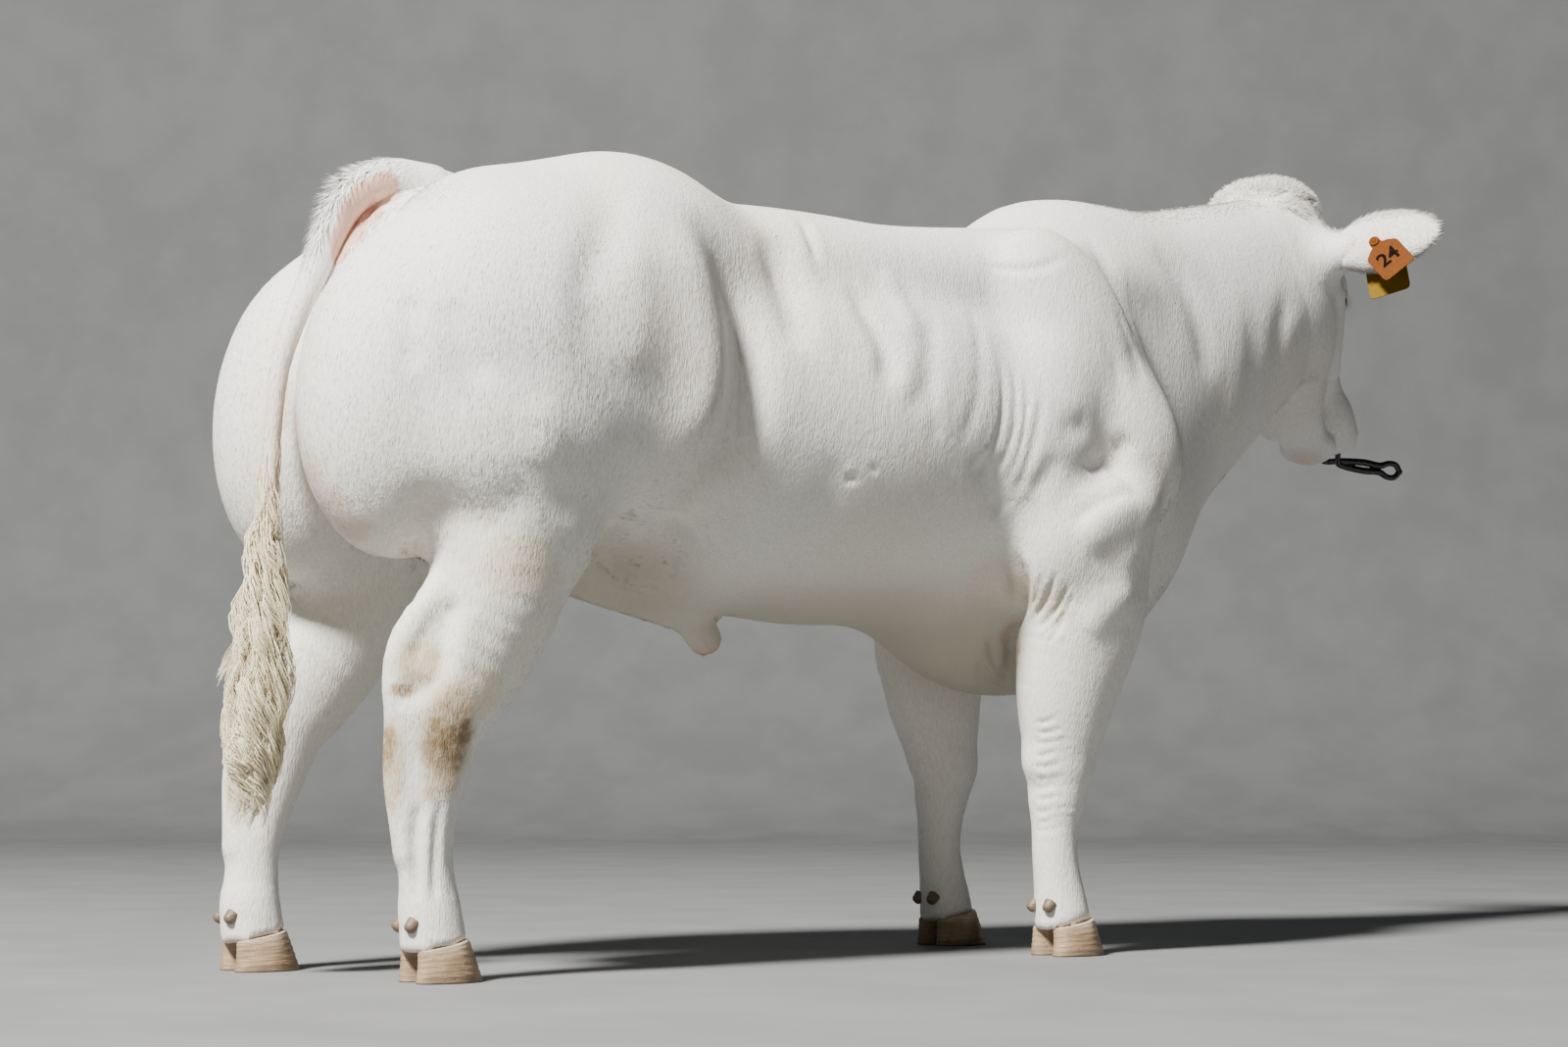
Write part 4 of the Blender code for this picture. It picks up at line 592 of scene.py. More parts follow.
# Folds and creases on the right side, each through points of the picture, with its depth and half width
creases = {
    "rump furrow": ([(618, 180), (626, 212), (614, 250), (598, 290), (604, 335),
                     (619, 380)], 0.0070, 0.028),
    "tail fold one": ([(368, 234), (376, 218), (388, 205)], 0.006, 0.0055),
    "tail fold two": ([(380, 222), (390, 209), (402, 200)], 0.004, 0.0055),
    "hip swell": ([(641, 235), (652, 290), (650, 340), (636, 395)], -0.0065, 0.040),
    "thigh edge": ([(690, 200), (730, 252), (755, 315), (762, 380), (750, 440), (716, 490),
                    (668, 512)], 0.014, 0.034),
    "thigh roll": ([(665, 215), (700, 262), (722, 318), (728, 378), (715, 430),
                    (690, 470)], -0.010, 0.040),
    "thigh split one": ([(415, 295), (420, 340), (424, 385)], 0.0045, 0.020),
    "thigh split two": ([(453, 300), (476, 350), (502, 398)], 0.0045, 0.020),
    "thigh swell": ([(545, 400), (560, 440), (545, 480)], -0.006, 0.030),
    "thigh foot": ([(408, 538), (432, 516), (462, 520), (497, 526), (527, 508),
                    (550, 490)], 0.007, 0.030),
    "stifle": ([(560, 520), (575, 512), (600, 505)], 0.005, 0.026),
    "thigh": ([(437, 549), (425, 560), (424, 568), (433, 577)], 0.006, 0.006),
    "thigh fold": ([(438, 556), (431, 563), (431, 571)], 0.003, 0.004),
    "flank": ([(610, 575), (622, 542), (650, 524), (690, 528), (714, 550), (724, 580)], 0.012, 0.017),
    "under flank": ([(630, 590), (658, 575), (692, 590)], 0.020, 0.036),
    "loin": ([(780, 230), (793, 262), (803, 298), (811, 335), (815, 362)], 0.0125, 0.028),
    "loin fold": ([(815, 222), (826, 243), (835, 270)], 0.0050, 0.010),
    "rib one": ([(866, 285), (888, 325), (906, 362), (902, 405)], 0.009, 0.020),
    "rib swell": ([(898, 270), (918, 310), (932, 350)], -0.005, 0.020),
    "rib two": ([(950, 310), (948, 380), (930, 430)], 0.0045, 0.020),
    "rib three": ([(850, 450), (845, 520), (830, 580)], 0.0035, 0.030),
    "dent one": ([(862, 489), (869, 488), (876, 487)], 0.0030, 0.008),
    "dent two": ([(888, 479), (896, 477)], 0.0020, 0.008),
    "withers": ([(1001, 268), (1030, 275), (1062, 273), (1091, 259)], 0.0028, 0.008),
    "blade front": ([(1108, 236), (1130, 278), (1150, 320), (1164, 354)], 0.0060, 0.022),
    "blade fold one": ([(1134, 306), (1150, 342), (1160, 372), (1164, 400)], 0.0028, 0.011),
    "blade fold two": ([(1122, 330), (1138, 372), (1146, 415)], 0.0022, 0.011),
    "neck furrow": ([(1165, 252), (1198, 275), (1220, 315), (1230, 360), (1230, 390)], 0.007, 0.030),
    "neck swell": ([(1255, 290), (1262, 350), (1262, 410), (1245, 460)], -0.004, 0.030),
    "jaw furrow": ([(1318, 285), (1306, 335), (1302, 380), (1284, 430)], 0.004, 0.024),
    "throat ridge": ([(1328, 375), (1300, 418), (1268, 460), (1236, 500)], -0.004, 0.018),
    "side one": ([(992, 300), (1000, 360), (996, 414), (975, 460)], 0.0032, 0.012),
    "side two": ([(1017, 355), (1024, 405), (1017, 448), (990, 498)], 0.0026, 0.007),
    "side three": ([(1032, 365), (1037, 410), (1033, 448), (1008, 498)], 0.0023, 0.006),
    "side four": ([(1046, 374), (1048, 418), (1042, 455), (1024, 502)], 0.0023, 0.006),
    "side five": ([(1066, 391), (1058, 440), (1046, 480), (1034, 510)], 0.0026, 0.010),
    "side six": ([(951, 372), (953, 414), (957, 453)], 0.0030, 0.012),
    "dimple": ([(1080, 440), (1096, 436), (1113, 434)], 0.0040, 0.021),
    "second dimple": ([(1137, 463), (1147, 455), (1156, 445)], 0.0065, 0.017),
    "ear fold": ([(1396, 234), (1425, 235), (1452, 240)], 0.0032, 0.0075),
    "ear low": ([(1368, 264), (1386, 264), (1400, 268)], 0.0030, 0.0070),
    "shoulder hollow": ([(1126, 474), (1137, 481), (1152, 491), (1166, 502)], 0.0045, 0.011),
    "arm ridge": ([(1166, 502), (1140, 506), (1112, 520), (1090, 540)], 0.0050, 0.011),
    "arm swell": ([(1098, 562), (1128, 528), (1160, 504)], -0.006, 0.030),
    "arm fold": ([(1105, 572), (1138, 562), (1168, 545)], 0.0020, 0.018),
    "arm groove": ([(1084, 462), (1066, 486), (1050, 506)], 0.004, 0.018),
    "fore swell": ([(1100, 650), (1128, 620), (1160, 598)], -0.008, 0.030),
    "triceps hollow": ([(1001, 458), (1008, 485), (1014, 512), (1020, 530)], 0.009, 0.028),
    "elbow": ([(1031, 556), (1044, 588), (1043, 615), (1034, 647), (1032, 679),
               (1034, 704)], 0.014, 0.012),
    "elbow one": ([(1079, 580), (1070, 607), (1054, 634)], 0.0032, 0.0045),
    "elbow two": ([(1064, 580), (1059, 604), (1048, 626)], 0.0028, 0.0045),
    "elbow three": ([(1091, 594), (1081, 618), (1056, 647)], 0.0034, 0.0045),
    "elbow four": ([(1096, 604), (1085, 628), (1058, 655)], 0.0028, 0.0042),
    "elbow five": ([(1090, 628), (1068, 658)], 0.0035, 0.0045),
    "elbow back": ([(1010, 647), (1015, 674), (1030, 700)], 0.008, 0.009),
    "girth": ([(996, 674), (1010, 695), (1028, 708)], 0.006, 0.009),
    "gaskin": ([(464, 604), (456, 632), (450, 662), (450, 698)], 0.0120, 0.017),
    "hock": ([(397, 712), (419, 709), (440, 697), (450, 682)], 0.0050, 0.014),
    "cannon one": ([(428, 812), (424, 863), (425, 927)], 0.0055, 0.009),
    "cannon two": ([(448, 812), (443, 879), (444, 927)], 0.0040, 0.007),
}
for number, v in enumerate((733, 744, 754, 767, 778, 791, 800, 811, 824, 835, 843)):
    start, end = 1056 + number % 2 * 3, 1080 + 7 * (number % 3)
    creases[f"foreleg {number}"] = ([(start, v + 2), (1064, v + 4), (end, v - 2)], 0.0024, 0.0050)


# How far a crease pushes and how it fades, in widths and shares, and where it is mirrored
creaseShape = {"reach": 4.5, "ends": 4.0, "least": 0.15, "swell": 0.20, "swellAt": 2.0,
               "otherSide": 0.8, "beside": 0.9, "legsBelow": 0.60, "headFrom": 0.85, "margin": 0.006}


def creaseLines(tree):  # each crease as points on both sides of the skin, with its depth and width
    made = []
    for line, depth, width in creases.values():
        seen = [tree.ray_cast(cameraPoint, rayThrough(u, v))[0] for u, v in line]
        if None in seen:
            print("a crease misses the skin", line[0])
            continue
        rows = smoothRows(np.array([list(point) for point in seen]), 4)
        mirrored = []
        for x, y, z in rows:
            hit = tree.ray_cast(Vector((x, creaseShape["beside"], z)), Vector((0, -1, 0)))[0]
            if hit is not None:
                mirrored.append((x, hit.y, z))
        made.append((rows, depth, width))
        onLeg = rows[:, 2].max() < creaseShape["legsBelow"]
        if len(mirrored) > 2 and not onLeg and rows[:, 0].max() < creaseShape["headFrom"]:
            made.append((np.array(mirrored), depth * creaseShape["otherSide"], width))
    return made


def creased(points, normals, lines):  # the points pushed in along each crease, swollen beside it
    points = points.copy()
    ends, least = creaseShape["ends"], creaseShape["least"]
    for rows, depth, width in lines:
        reach = creaseShape["reach"] * width
        near = np.flatnonzero(((points > rows.min(0) - reach) & (points < rows.max(0) + reach)).all(1))
        if not len(near):
            continue
        spots = points[near]
        best, place = np.full(len(near), 1e9), np.zeros(len(near))
        for number, (a, b) in enumerate(zip(rows, rows[1:])):
            along = b - a
            t = np.clip(((spots - a) @ along) / float(along @ along), 0, 1)
            away = np.linalg.norm(spots - a - t[:, None] * along, axis=1)
            closer = away < best
            best[closer] = away[closer]
            place[closer] = (number + t[closer]) / (len(rows) - 1)
        fade = np.clip(ends * place, least, 1) * np.clip(ends * (1 - place), least, 1)
        fade = fade * fade * (3 - 2 * fade)
        beside = (best - creaseShape["swellAt"] * width) / width
        push = -np.exp(-(best / width) ** 2) + creaseShape["swell"] * np.exp(-(beside**2))
        points[near] += (depth * fade * push)[:, None] * normals[near]
    return points


def refined(thing, clay, wanted, depth):  # halves faces where wanted, and moves points to the flesh
    mesh = bmesh.new()
    mesh.from_mesh(thing.data)
    middles = np.array([face.calc_center_median()[:] for face in mesh.faces])
    chosen = wanted(middles)
    edges = {edge for face, want in zip(mesh.faces, chosen) if want for edge in face.edges}
    bmesh.ops.subdivide_edges(mesh, edges=list(edges), cuts=1, use_grid_fill=True)
    bmesh.ops.triangulate(mesh, faces=[face for face in mesh.faces if len(face.verts) > 4])
    for _ in range(skinSizes["ease"]):
        bmesh.ops.smooth_vert(mesh, verts=mesh.verts, factor=0.5,
                              use_axis_x=True, use_axis_y=True, use_axis_z=True)
    mesh.to_mesh(thing.data)
    mesh.free()
    setPoints(thing, clay.pull(pointsOf(thing), depth))
    print("skin refined to", len(thing.data.polygons), "faces")


def nearLines(points, lines, widest, widths):  # which points lie near a crease, if it is narrow
    near = np.zeros(len(points), bool)
    for rows, depth, width in lines:
        if width > widest:
            continue
        for spot in rows[::2]:
            near |= ((points - spot) ** 2).sum(1) < (widths * width + creaseShape["margin"]) ** 2
    return near


# Where the skin is made finer: once on the head, the legs and the arms, again on the face, and a third
# time on the lids and the muzzle; near creases no wider than these, within so many of their widths
nearCreases = {"half": (0.021, 2.2), "quarter": (0.010, 2.0)}


def wantsHalf(points):
    x, y, z = points.T
    local = inHead(points)
    onHead = (local[:, 0] > -0.09) & (x > 0.98)
    onLeg = z < 0.56
    arm = (x > 0.20) & (x < 0.70) & (z < 0.74) & (np.abs(y) > 0.12)
    return onHead | onLeg | arm


def wantsQuarter(points):
    local = inHead(points)
    return (local[:, 0] > 0.13) & (points[:, 0] > 1.1)


def wantsFinest(points):
    local = inHead(points)
    lids = np.zeros(len(points), bool)
    for side in (1, -1):
        away = local - np.array((eye.x, side * eye.y, eye.z))
        lids |= (away**2).sum(1) < 0.036**2
    muzzle = (local[:, 0] > 0.455) & (local[:, 2] > -0.135)
    return lids | muzzle


def makeSkin():
    body = Clay()
    shapeBody(body)
    depth = skinSizes["coatDepth"]
    points, quads = body.surface(skinSizes["low"], skinSizes["high"], skinSizes["grid"], depth)
    made = newMesh("skin", points, quads)
    keepLargest(made)
    setPoints(made, body.pull(pointsOf(made), depth))
    lines = creaseLines(BVHTree.FromObject(made, bpy.context.evaluated_depsgraph_get()))
    for wanted, near in ((wantsHalf, "half"), (wantsQuarter, "quarter")):
        refined(made, body, lambda spots: wanted(spots) | nearLines(spots, lines, *nearCreases[near]),
                depth)
    refined(made, body, wantsFinest, depth)
    setPoints(made, creased(pointsOf(made), normalsOf(made), lines))

    tailClay = Clay()
    tailClay.chain(tail[1:], soft=0.003)
    pieces = [made, cast("tail", tailClay, (-1.02, -0.08, 0.64), (-0.60, 0.08, 1.36), "tailGrid")]
    for side in (1, -1):
        place = earFrame(side)
        ear = Clay()
        shapeEar(ear, place)
        middle, reach = place @ Vector((0.10, 0, 0)), Vector((0.17, 0.17, 0.17))
        pieces.append(cast("ear", ear, middle - reach, middle + reach, "earGrid"))
    return joined("skin", pieces)


def cast(name, clay, low, high, grid):  # a thin part's own surface
    points, quads = clay.surface(low, high, skinSizes[grid], skinSizes["thinDepth"])
    return newMesh(name, clay.pull(points, skinSizes["thinDepth"]), quads)


def keepLargest(thing):  # deletes every closed surface but the one with most faces
    mesh = bmesh.new()
    mesh.from_mesh(thing.data)
    seen, surfaces = set(), []
    for start in mesh.faces:
        if start in seen:
            continue
        surface, queue = [], [start]
        seen.add(start)
        while queue:
            face = queue.pop()
            surface.append(face)
            for other in (other for edge in face.edges for other in edge.link_faces):
                if other not in seen:
                    seen.add(other)
                    queue.append(other)
        surfaces.append(surface)
    surfaces.sort(key=len)
    for surface in surfaces[:-1]:
        bmesh.ops.delete(mesh, geom=surface, context="FACES")
    mesh.to_mesh(thing.data)
    mesh.free()


# Nodes, for the finishes and for what repeats

class Wire:  # a socket whose sums are written as plain Python
    def __init__(self, nodes, socket):
        self.nodes, self.socket = nodes, socket

    def sum(self, kind, a, b):
        return self.nodes.node("ShaderNodeMath", {"operation": kind}, {0: a, 1: b})

    def __add__(self, other):
        return self.sum("ADD", self, other)

    def __mul__(self, other):
        return self.sum("MULTIPLY", self, other)

    def __truediv__(self, other):
        return self.sum("DIVIDE", self, other)

    def __pow__(self, other):
        return self.sum("POWER", self, other)


def pick(sockets, name):
    if isinstance(name, int):
        return sockets[name]
    return next(socket for socket in sockets if socket.name == name and socket.enabled)


class Nodes:
    def __init__(self, tree):
        self.tree = tree

    def node(self, kind, settings=None, sockets=None, out=0):  # a new node, and one of its outputs
        made = self.tree.nodes.new(kind)
        for key, value in (settings or {}).items():
            if key == "stops":
                ramp = made.color_ramp.elements
                while len(ramp) < len(value):
                    ramp.new(0.5)
                for stop, (place, colour) in zip(ramp, value):
                    stop.position, stop.color = place, (*colour, 1)
            else:
                setattr(made, key, value)
        for key, value in (sockets or {}).items():
            socket = pick(made.inputs, key)
            if isinstance(value, Wire):
                self.tree.links.new(value.socket, socket)
            elif socket.type == "RGBA" and len(value) == 3:
                socket.default_value = (*value, 1)
            else:
                socket.default_value = value
        return Wire(self, pick(made.outputs, out)) if made.outputs else made

    def vector(self, kind, a, b=None, out=0):
        sockets = {0: a} if b is None else {0: a, 1: b}
        return self.node("ShaderNodeVectorMath", {"operation": kind}, sockets, out)


class Paint(Nodes):  # a material
    def __init__(self, name, **fixed):
        self.material = bpy.data.materials.new(name)
        self.material.use_nodes = True
        super().__init__(self.material.node_tree)
        self.shader = self.tree.nodes["Principled BSDF"]
        for key, value in fixed.items():
            socket = self.shader.inputs[key.replace("_", " ")]
            socket.default_value = (*value, 1) if socket.type == "RGBA" else value
        self.place = self.node("ShaderNodeTexCoord", out="Object")

    def set(self, name, value):
        self.tree.links.new(value.socket, self.shader.inputs[name])

    def noise(self, scale, detail=3, rough=0.55, warp=0.0, stretch=None, place=None):
        place = place or self.place
        if stretch:
            place = self.vector("MULTIPLY", place, stretch)
        return self.node("ShaderNodeTexNoise", None, {"Vector": place, "Scale": scale, "Detail": detail,
                                                      "Roughness": rough, "Distortion": warp}, "Fac")

    def blend(self, share, a, b, kind="MIX"):
        return self.node("ShaderNodeMix", {"data_type": "RGBA", "blend_type": kind},
                         {"Factor": share, "A": a, "B": b}, "Result")

    def smooth(self, value, low, high, start=0.0, end=1.0):
        sockets = {"Value": value, "From Min": low, "From Max": high, "To Min": start, "To Max": end}
        return self.node("ShaderNodeMapRange", {"interpolation_type": "SMOOTHSTEP"}, sockets, "Result")

    def attribute(self, name, out="Fac"):
        return self.node("ShaderNodeAttribute", {"attribute_name": name}, None, out)

    def bump(self, height, distance, strength=1.0):
        self.set("Normal", self.node("ShaderNodeBump", None, {"Height": height, "Distance": distance,
                                                              "Strength": strength}, "Normal"))

    def spot(self, middle, radii):  # 1 in the middle of a soft patch, 0 outside it
        away = self.vector("SUBTRACT", self.place, tuple(Vector(middle) - centre))
        away = self.vector("DIVIDE", away, tuple(radii))
        return self.smooth(self.vector("LENGTH", away, out="Value"), 0.35, 1.0, 1.0, 0.0)


# Marks on the coat, some of them painted shade under the chest, the belly, the jaw and the ear: where,
# how far they reach, their colour and strength
pink, flesh, cream = (0.64, 0.395, 0.30), (0.70, 0.50, 0.42), (0.80, 0.70, 0.53)
mud, rust, shade = (0.25, 0.165, 0.075), (0.47, 0.33, 0.19), (0.56, 0.50, 0.42)
darkMud, earSkin, dust = (0.16, 0.105, 0.048), (0.76, 0.66, 0.61), (0.58, 0.475, 0.325)
darkFlesh, tan, soilAndPaintedShade = (0.56, 0.30, 0.24), (0.66, 0.58, 0.45), (0.50, 0.455, 0.365)
marks = [
    ((-0.875, -0.005, 0.800), (0.150, 0.062, 0.330), flesh, 0.75),
    ((-0.700, -0.010, 0.660), (0.220, 0.110, 0.130), flesh, 0.70),
    ((-0.620, 0.300, 0.700), (0.260, 0.160, 0.230), cream, 0.45),
    ((0.245, 0.290, 0.635), (0.100, 0.130, 0.100), flesh, 0.40),
    ((0.300, 0.270, 0.560), (0.055, 0.110, 0.140), rust, 0.50),
    # partly soiling, partly painted shade: darker under the chest, the belly and in the groin
    ((0.300, 0.000, 0.510), (0.330, 0.230, 0.110), soilAndPaintedShade, 0.70),
    ((0.120, 0.000, 0.540), (0.620, 0.380, 0.230), soilAndPaintedShade, 0.75),
    ((-0.380, 0.000, 0.640), (0.260, 0.300, 0.150), soilAndPaintedShade, 0.85),
    ((0.420, 0.000, 0.500), (0.300, 0.200, 0.140), soilAndPaintedShade, 0.60),
    ((-0.905, 0.205, 0.430), (0.045, 0.060, 0.060), rust, 0.45),
    ((-0.905, 0.205, 0.320), (0.035, 0.055, 0.110), rust, 0.40),
    ((-0.885, 0.200, 0.050), (0.085, 0.075, 0.045), pink, 0.70),
    ((-0.760, -0.205, 0.050), (0.085, 0.075, 0.035), cream, 0.60),
    ((0.470, -0.190, 0.045), (0.085, 0.075, 0.035), cream, 0.60),
    ((0.500, 0.190, 0.045), (0.085, 0.075, 0.035), cream, 0.60),
    ((-0.150, 0.000, 0.520), (0.060, 0.045, 0.050), pink, 0.60),
]
seenMarks = [  # the same, at points of the picture
    ((372, 208), (0.040, 0.050, 0.050), pink, 1.8),
    ((358, 228), (0.034, 0.045, 0.050), pink, 1.8),
    ((392, 192), (0.036, 0.045, 0.036), pink, 1.4),
    ((346, 250), (0.022, 0.035, 0.045), pink, 1.5),
    ((378, 210), (0.012, 0.030, 0.018), darkFlesh, 1.3),
    ((362, 228), (0.010, 0.030, 0.018), darkFlesh, 1.3),
    ((297, 410), (0.034, 0.050, 0.070), flesh, 0.5),
    ((304, 445), (0.034, 0.050, 0.070), flesh, 0.6),
    ((318, 480), (0.036, 0.050, 0.060), flesh, 0.6),
    ((336, 512), (0.040, 0.060, 0.050), flesh, 0.6),
    ((360, 540), (0.046, 0.060, 0.040), flesh, 0.6),
    # painted shadow under the round of the thigh
    ((470, 520), (0.130, 0.090, 0.050), tan, 0.30),
    ((530, 575), (0.090, 0.090, 0.075), cream, 0.75),
    ((420, 560), (0.030, 0.040, 0.030), tan, 0.6),
    ((490, 705), (0.065, 0.070, 0.060), cream, 0.7),
    ((428, 676), (0.058, 0.055, 0.052), dust, 0.95),
    ((456, 752), (0.066, 0.065, 0.120), dust, 0.90),
    ((411, 704), (0.034, 0.040, 0.018), rust, 0.85),
    ((464, 716), (0.056, 0.050, 0.042), rust, 0.60),
    ((460, 746), (0.060, 0.055, 0.050), mud, 0.90),
    ((454, 768), (0.054, 0.055, 0.052), mud, 0.95),
    ((470, 746), (0.028, 0.040, 0.028), darkMud, 0.55),
    ((452, 768), (0.022, 0.040, 0.034), darkMud, 0.45),
    ((448, 800), (0.048, 0.050, 0.048), rust, 0.60),
    ((397, 780), (0.034, 0.045, 0.120), dust, 0.85),
    ((396, 764), (0.016, 0.030, 0.060), mud, 0.85),
    ((1012, 592), (0.085, 0.110, 0.085), flesh, 0.45),
    # partly soiling, partly painted shade behind the elbow
    ((1000, 640), (0.110, 0.120, 0.090), soilAndPaintedShade, 0.55),
    ((1045, 600), (0.040, 0.060, 0.070), tan, 0.70),
    ((1075, 615), (0.045, 0.060, 0.050), tan, 0.65),
    ((1036, 660), (0.030, 0.060, 0.070), rust, 0.60),
    # partly soiling, partly painted shade under the chest
    ((940, 665), (0.200, 0.140, 0.080), soilAndPaintedShade, 0.55),
    ((1100, 780), (0.040, 0.040, 0.060), (0.60, 0.58, 0.54), 0.35),
    ((1330, 208), (0.030, 0.030, 0.022), (0.62, 0.50, 0.42), 0.30),
    ((1410, 250), (0.080, 0.080, 0.050), earSkin, 0.55),
    ((1385, 276), (0.050, 0.060, 0.022), shade, 0.45),
]
headMarks = [  # the same, in the head's own frame
    ((0.530, 0.000, -0.085), (0.060, 0.060, 0.060), (0.66, 0.45, 0.40), 0.85),
    ((0.500, 0.000, -0.150), (0.060, 0.060, 0.050), (0.70, 0.52, 0.46), 0.60),
    ((0.030, -0.055, -0.010), (0.050, 0.050, 0.045), rust, 0.22),
    ((0.280, 0.000, -0.240), (0.160, 0.160, 0.070), shade, 0.50),
    ((0.208, 0.120, -0.062), (0.034, 0.034, 0.034), (0.55, 0.38, 0.33), 0.80),
    ((0.208, -0.120, -0.062), (0.034, 0.034, 0.034), (0.55, 0.38, 0.33), 0.80),
]


def markedCoat(paint, colour):  # the coat's colour, with its marks
    broad = paint.noise(2.6, 2)
    fine = paint.noise(16.0, 4)
    colour = paint.blend(paint.smooth(broad, 0.42, 0.70, 0.0, 0.55), colour, (0.82, 0.765, 0.665))
    # By height: from the flank down the coat turns yellow-green, partly its own cream and partly painted
    # green light reflected from the ground, and it is whiter again on the lower legs
    low = paint.node("ShaderNodeSeparateXYZ", None, {0: paint.place}, 2)
    colour = paint.blend(paint.smooth(low, 1.00, 0.60, 0.0, 0.55), colour, (0.76, 0.73, 0.61))
    colour = paint.blend(paint.smooth(low, 0.55, 0.25, 0.0, 0.50), colour, (0.83, 0.81, 0.78))
    clumped = paint.noise(75.0, 3)
    ragged = paint.smooth(fine * 0.5 + clumped * 0.5, 0.38, 0.60, 0.40, 1.20)
    placed = marks + [(head @ Vector(middle), *mark) for middle, *mark in headMarks]
    placed += [(seenAt(*spot), *mark) for spot, *mark in seenMarks]
    for side in (1, -1):  # the bare pink skin in the ear's cup
        ear = earFrame(side)
        placed += [(ear @ Vector((0.100, 0, -0.022)), (0.085, 0.085, 0.060), flesh, 0.60),
                   (ear @ Vector((0.090, 0, 0.012)), (0.085, 0.060, 0.050), (0.80, 0.68, 0.63), 0.50)]
    for middle, radii, tint, strength in placed:
        if tint in (mud, darkMud, rust):
            strength = ragged * strength
        share = paint.spot(middle, radii) * strength
        colour = paint.blend(paint.smooth(share, 0.0, 1.0), colour, tint)
    return colour


def skinPaint():
    paint = Paint("hide", Roughness=0.62, Specular_IOR_Level=0.35)
    colour = markedCoat(paint, (0.83, 0.82, 0.795))
    hair = paint.noise(300.0, 3, stretch=(1.0, 1.0, 0.26))
    wrinkle = paint.noise(46.0, 3, 0.6, 0.4, stretch=(1.0, 1.0, 0.35))
    colour = paint.blend(paint.smooth(hair, 0.30, 0.65, 0.30, 0.0), colour, (0.50, 0.43, 0.36))
    paint.set("Base Color", colour)
    paint.bump(hair * 0.0016 + wrinkle * 0.0016, 1.0)
    return paint.material


def coatPaint():
    paint = Paint("short coat", Roughness=0.52, Specular_IOR_Level=0.4, Sheen_Weight=0.12)
    colour = markedCoat(paint, (0.85, 0.838, 0.812))
    tuft = paint.attribute("shade")
    tuft = paint.smooth(tuft, 0.0, 1.0, 0.0, 0.24)
    paint.set("Base Color", paint.blend(tuft, colour, (0.62, 0.56, 0.48), "MULTIPLY"))
    return paint.material


def locksPaint(name, colour, dark, rough=0.5):
    paint = Paint(name, Roughness=rough, Specular_IOR_Level=0.45, Sheen_Weight=0.1)
    tuft, along = paint.attribute("shade"), paint.attribute("along")
    mixed = paint.blend(paint.smooth(tuft, 0.2, 1.0, 0.0, 0.55), colour, dark)
    patch = paint.noise(22.0, 3)
    mixed = paint.blend(paint.smooth(patch, 0.50, 0.72, 0.0, 0.30), mixed, dark)
    mixed = paint.blend(paint.smooth(along, 0.0, 0.35, 0.15, 0.0), mixed, dark)
    streak = paint.noise(900.0, 2, stretch=(1.0, 1.0, 0.12))
    mixed = paint.blend(paint.smooth(streak, 0.35, 0.65, 0.12, 0.0), mixed, (0.50, 0.42, 0.30))
    paint.set("Base Color", mixed)
    paint.bump(streak * 0.0006, 1.0)
    return paint.material


# The coat, in tufts over the skin

coatSizes = {"perSquareMetre": 46000, "moreOnHead": 1.25, "width": 0.0024, "thin": 0.34,
             "sink": 0.0008, "stray": 0.07, "roundness": 0.35, "hair": 0.0125, "headHair": 0.0085,
             "earHair": 0.009, "cupHair": 0.014}


def treeFor(name, sizes):  # a Geometry Nodes tree, with its named inputs
    tree = bpy.data.node_groups.new(name, "GeometryNodeTree")
    tree.interface.new_socket("Geometry", in_out="INPUT", socket_type="NodeSocketGeometry")
    for label, kind in sizes.items():
        tree.interface.new_socket(label, in_out="INPUT", socket_type="NodeSocket" + kind)
    tree.interface.new_socket("Geometry", in_out="OUTPUT", socket_type="NodeSocketGeometry")
    nodes = Nodes(tree)
    start = tree.nodes.new("NodeGroupInput")
    given = {socket.name: Wire(nodes, socket) for socket in start.outputs if socket.name}
    return tree, nodes, given


def finishTree(tree, geometry, nodes, material):
    geometry = nodes.node("GeometryNodeSetShadeSmooth", None, {"Geometry": geometry})
    geometry = nodes.node("GeometryNodeRealizeInstances", None, {"Geometry": geometry})
    geometry = nodes.node("GeometryNodeSetMaterial", None, {"Geometry": geometry, "Material": material})
    end = tree.nodes.new("NodeGroupOutput")
    tree.links.new(geometry.socket, end.inputs[0])


def named(nodes, name, kind="FLOAT"):
    return nodes.node("GeometryNodeInputNamedAttribute", {"data_type": kind}, {"Name": name},
                      "Attribute")


def stored(nodes, geometry, name, value, kind="FLOAT", domain="POINT"):
    return nodes.node("GeometryNodeStoreNamedAttribute", {"data_type": kind, "domain": domain},
                      {"Geometry": geometry, "Name": name, "Value": value})


def aligned(nodes, rotation, vector, axis, pivot="AUTO"):
    sockets = {"Vector": vector} if rotation is None else {"Rotation": rotation, "Vector": vector}
    return nodes.node("FunctionNodeAlignRotationToVector", {"axis": axis, "pivot_axis": pivot}, sockets)


def anyOf(nodes, low, high, seed):  # a random number for each place
    return nodes.node("FunctionNodeRandomValue", {"data_type": "FLOAT"},
                      {"Min": low, "Max": high, "Seed": seed}, "Value")


def combined(nodes, x, y, z):
    return nodes.node("ShaderNodeCombineXYZ", None, {0: x, 1: y, 2: z})


bakePatch = 0.003  # how wide a tuft's or a lock's patch is on the skin's unwrap
guides = ("region", "grow", "away", "lie", "lift", "hair")  # what the skin tells the coat


